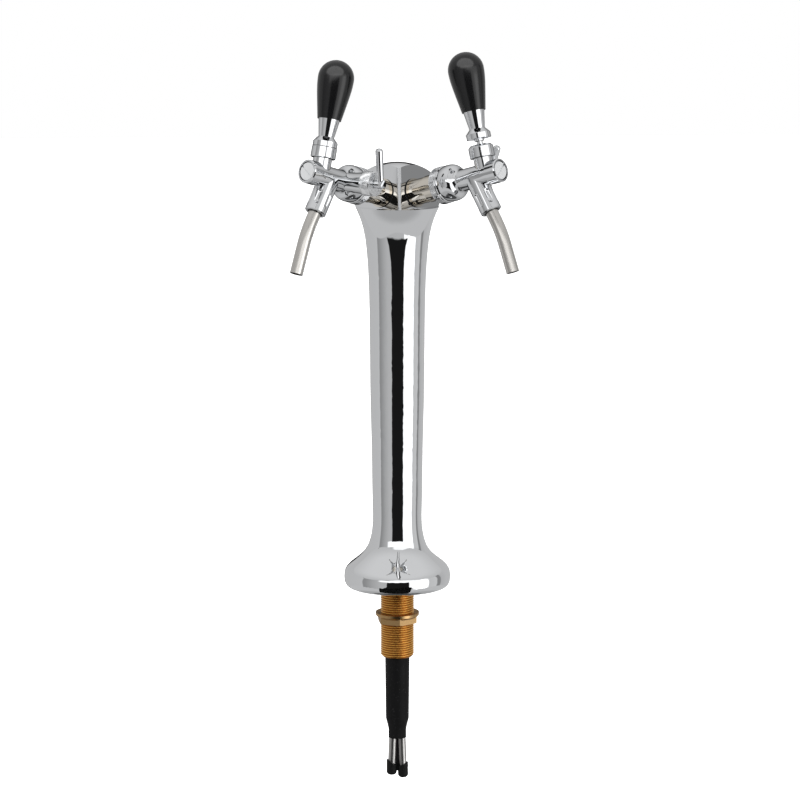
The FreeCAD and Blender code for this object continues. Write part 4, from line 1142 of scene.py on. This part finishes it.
def light_details():
    """Softboxes that each shine on a few named pieces alone: knobs, plug faces and glands."""
    knobs = [finished(name) for name in on_both_sides("knob")]
    hang_panel("Upper panel", knobs, KNOB_PANEL, KNOB_LIGHT)
    for side, sign in SIDES.items():
        plug = [finished("front_plug_" + side)]
        hang_panel("Plug panel " + side, plug, PLUG_PANEL, PLUG_LIGHT[side], sign)
        gland = [finished("compensator_gland_" + side), bpy.data.objects["gland_skirt_" + side]]
        hang_panel("Gland panel " + side, gland, GLAND_PANEL, GLAND_LIGHT, sign)


def hang_panel(name, receivers, panel, level, sign=1):
    """An oval softbox of an even level, seen by its receivers only; a sign of -1 mirrors it to the left."""
    place, target, size = panel
    group = bpy.data.collections.new(name + " receivers")
    for receiver in receivers:
        group.objects.link(receiver)
    light = bpy.data.lights.new(name, "AREA")
    light.shape = "ELLIPSE"
    light.size, light.size_y = size
    light.energy = level * math.pi * (math.pi / 4 * size[0] * size[1])
    lamp = add_object(name, light)
    mirror = Matrix.Diagonal((sign, 1, 1))
    aim(lamp, mirror @ Vector(place), mirror @ Vector(target))
    lamp.light_linking.receiver_collection = group


def make_camera(scene, studio):
    data = bpy.data.cameras.new("Camera")
    data.lens = studio.lens
    data.sensor_width = SENSOR_WIDTH
    data.clip_end = CLIP_END
    camera = add_object("Camera", data)
    aim(camera, CAMERA_PLACE, CAMERA_TARGET)
    scene.camera = camera


class TOWER_PT_panel(bpy.types.Panel):
    """Lists the tower's sizes, colours and steps."""

    bl_idname = "TOWER_PT_panel"
    bl_label = "Beer tower"
    bl_space_type = "VIEW_3D"
    bl_region_type = "UI"
    bl_category = "Tower"

    def draw(self, context):
        layout = self.layout
        for attribute, group in SETTINGS.items():
            box = layout.box()
            box.label(text=attribute.replace("tower_", "").capitalize())
            for name in group.__annotations__:
                box.prop(getattr(context.scene, attribute), name)
        for operator in OPERATORS:
            layout.operator(operator.bl_idname)


SETTINGS = {
    "tower_thread": ThreadSizes,
    "tower_knurl": KnurlSizes,
    "tower_colours": FinishColours,
    "tower_studio": StudioSettings,
}
OPERATORS = (
    TOWER_OT_finishes,
    TOWER_OT_column,
    TOWER_OT_fixing,
    TOWER_OT_lines,
    TOWER_OT_shanks,
    TOWER_OT_knurls,
    TOWER_OT_faucets,
    TOWER_OT_spouts,
    TOWER_OT_flow_levers,
    TOWER_OT_handles,
    TOWER_OT_stage,
)


def register():
    for attribute, group in SETTINGS.items():
        bpy.utils.register_class(group)
        setattr(bpy.types.Scene, attribute, PointerProperty(type=group))
    for operator in OPERATORS:
        bpy.utils.register_class(operator)
    bpy.utils.register_class(TOWER_PT_panel)


def unregister():
    bpy.utils.unregister_class(TOWER_PT_panel)
    for operator in reversed(OPERATORS):
        bpy.utils.unregister_class(operator)
    for attribute, group in SETTINGS.items():
        delattr(bpy.types.Scene, attribute)
        bpy.utils.unregister_class(group)


def main():
    register()
    for operator in OPERATORS:
        group, name = operator.bl_idname.split(".")
        getattr(getattr(bpy.ops, group), name)()


if __name__ == "__main__":
    main()
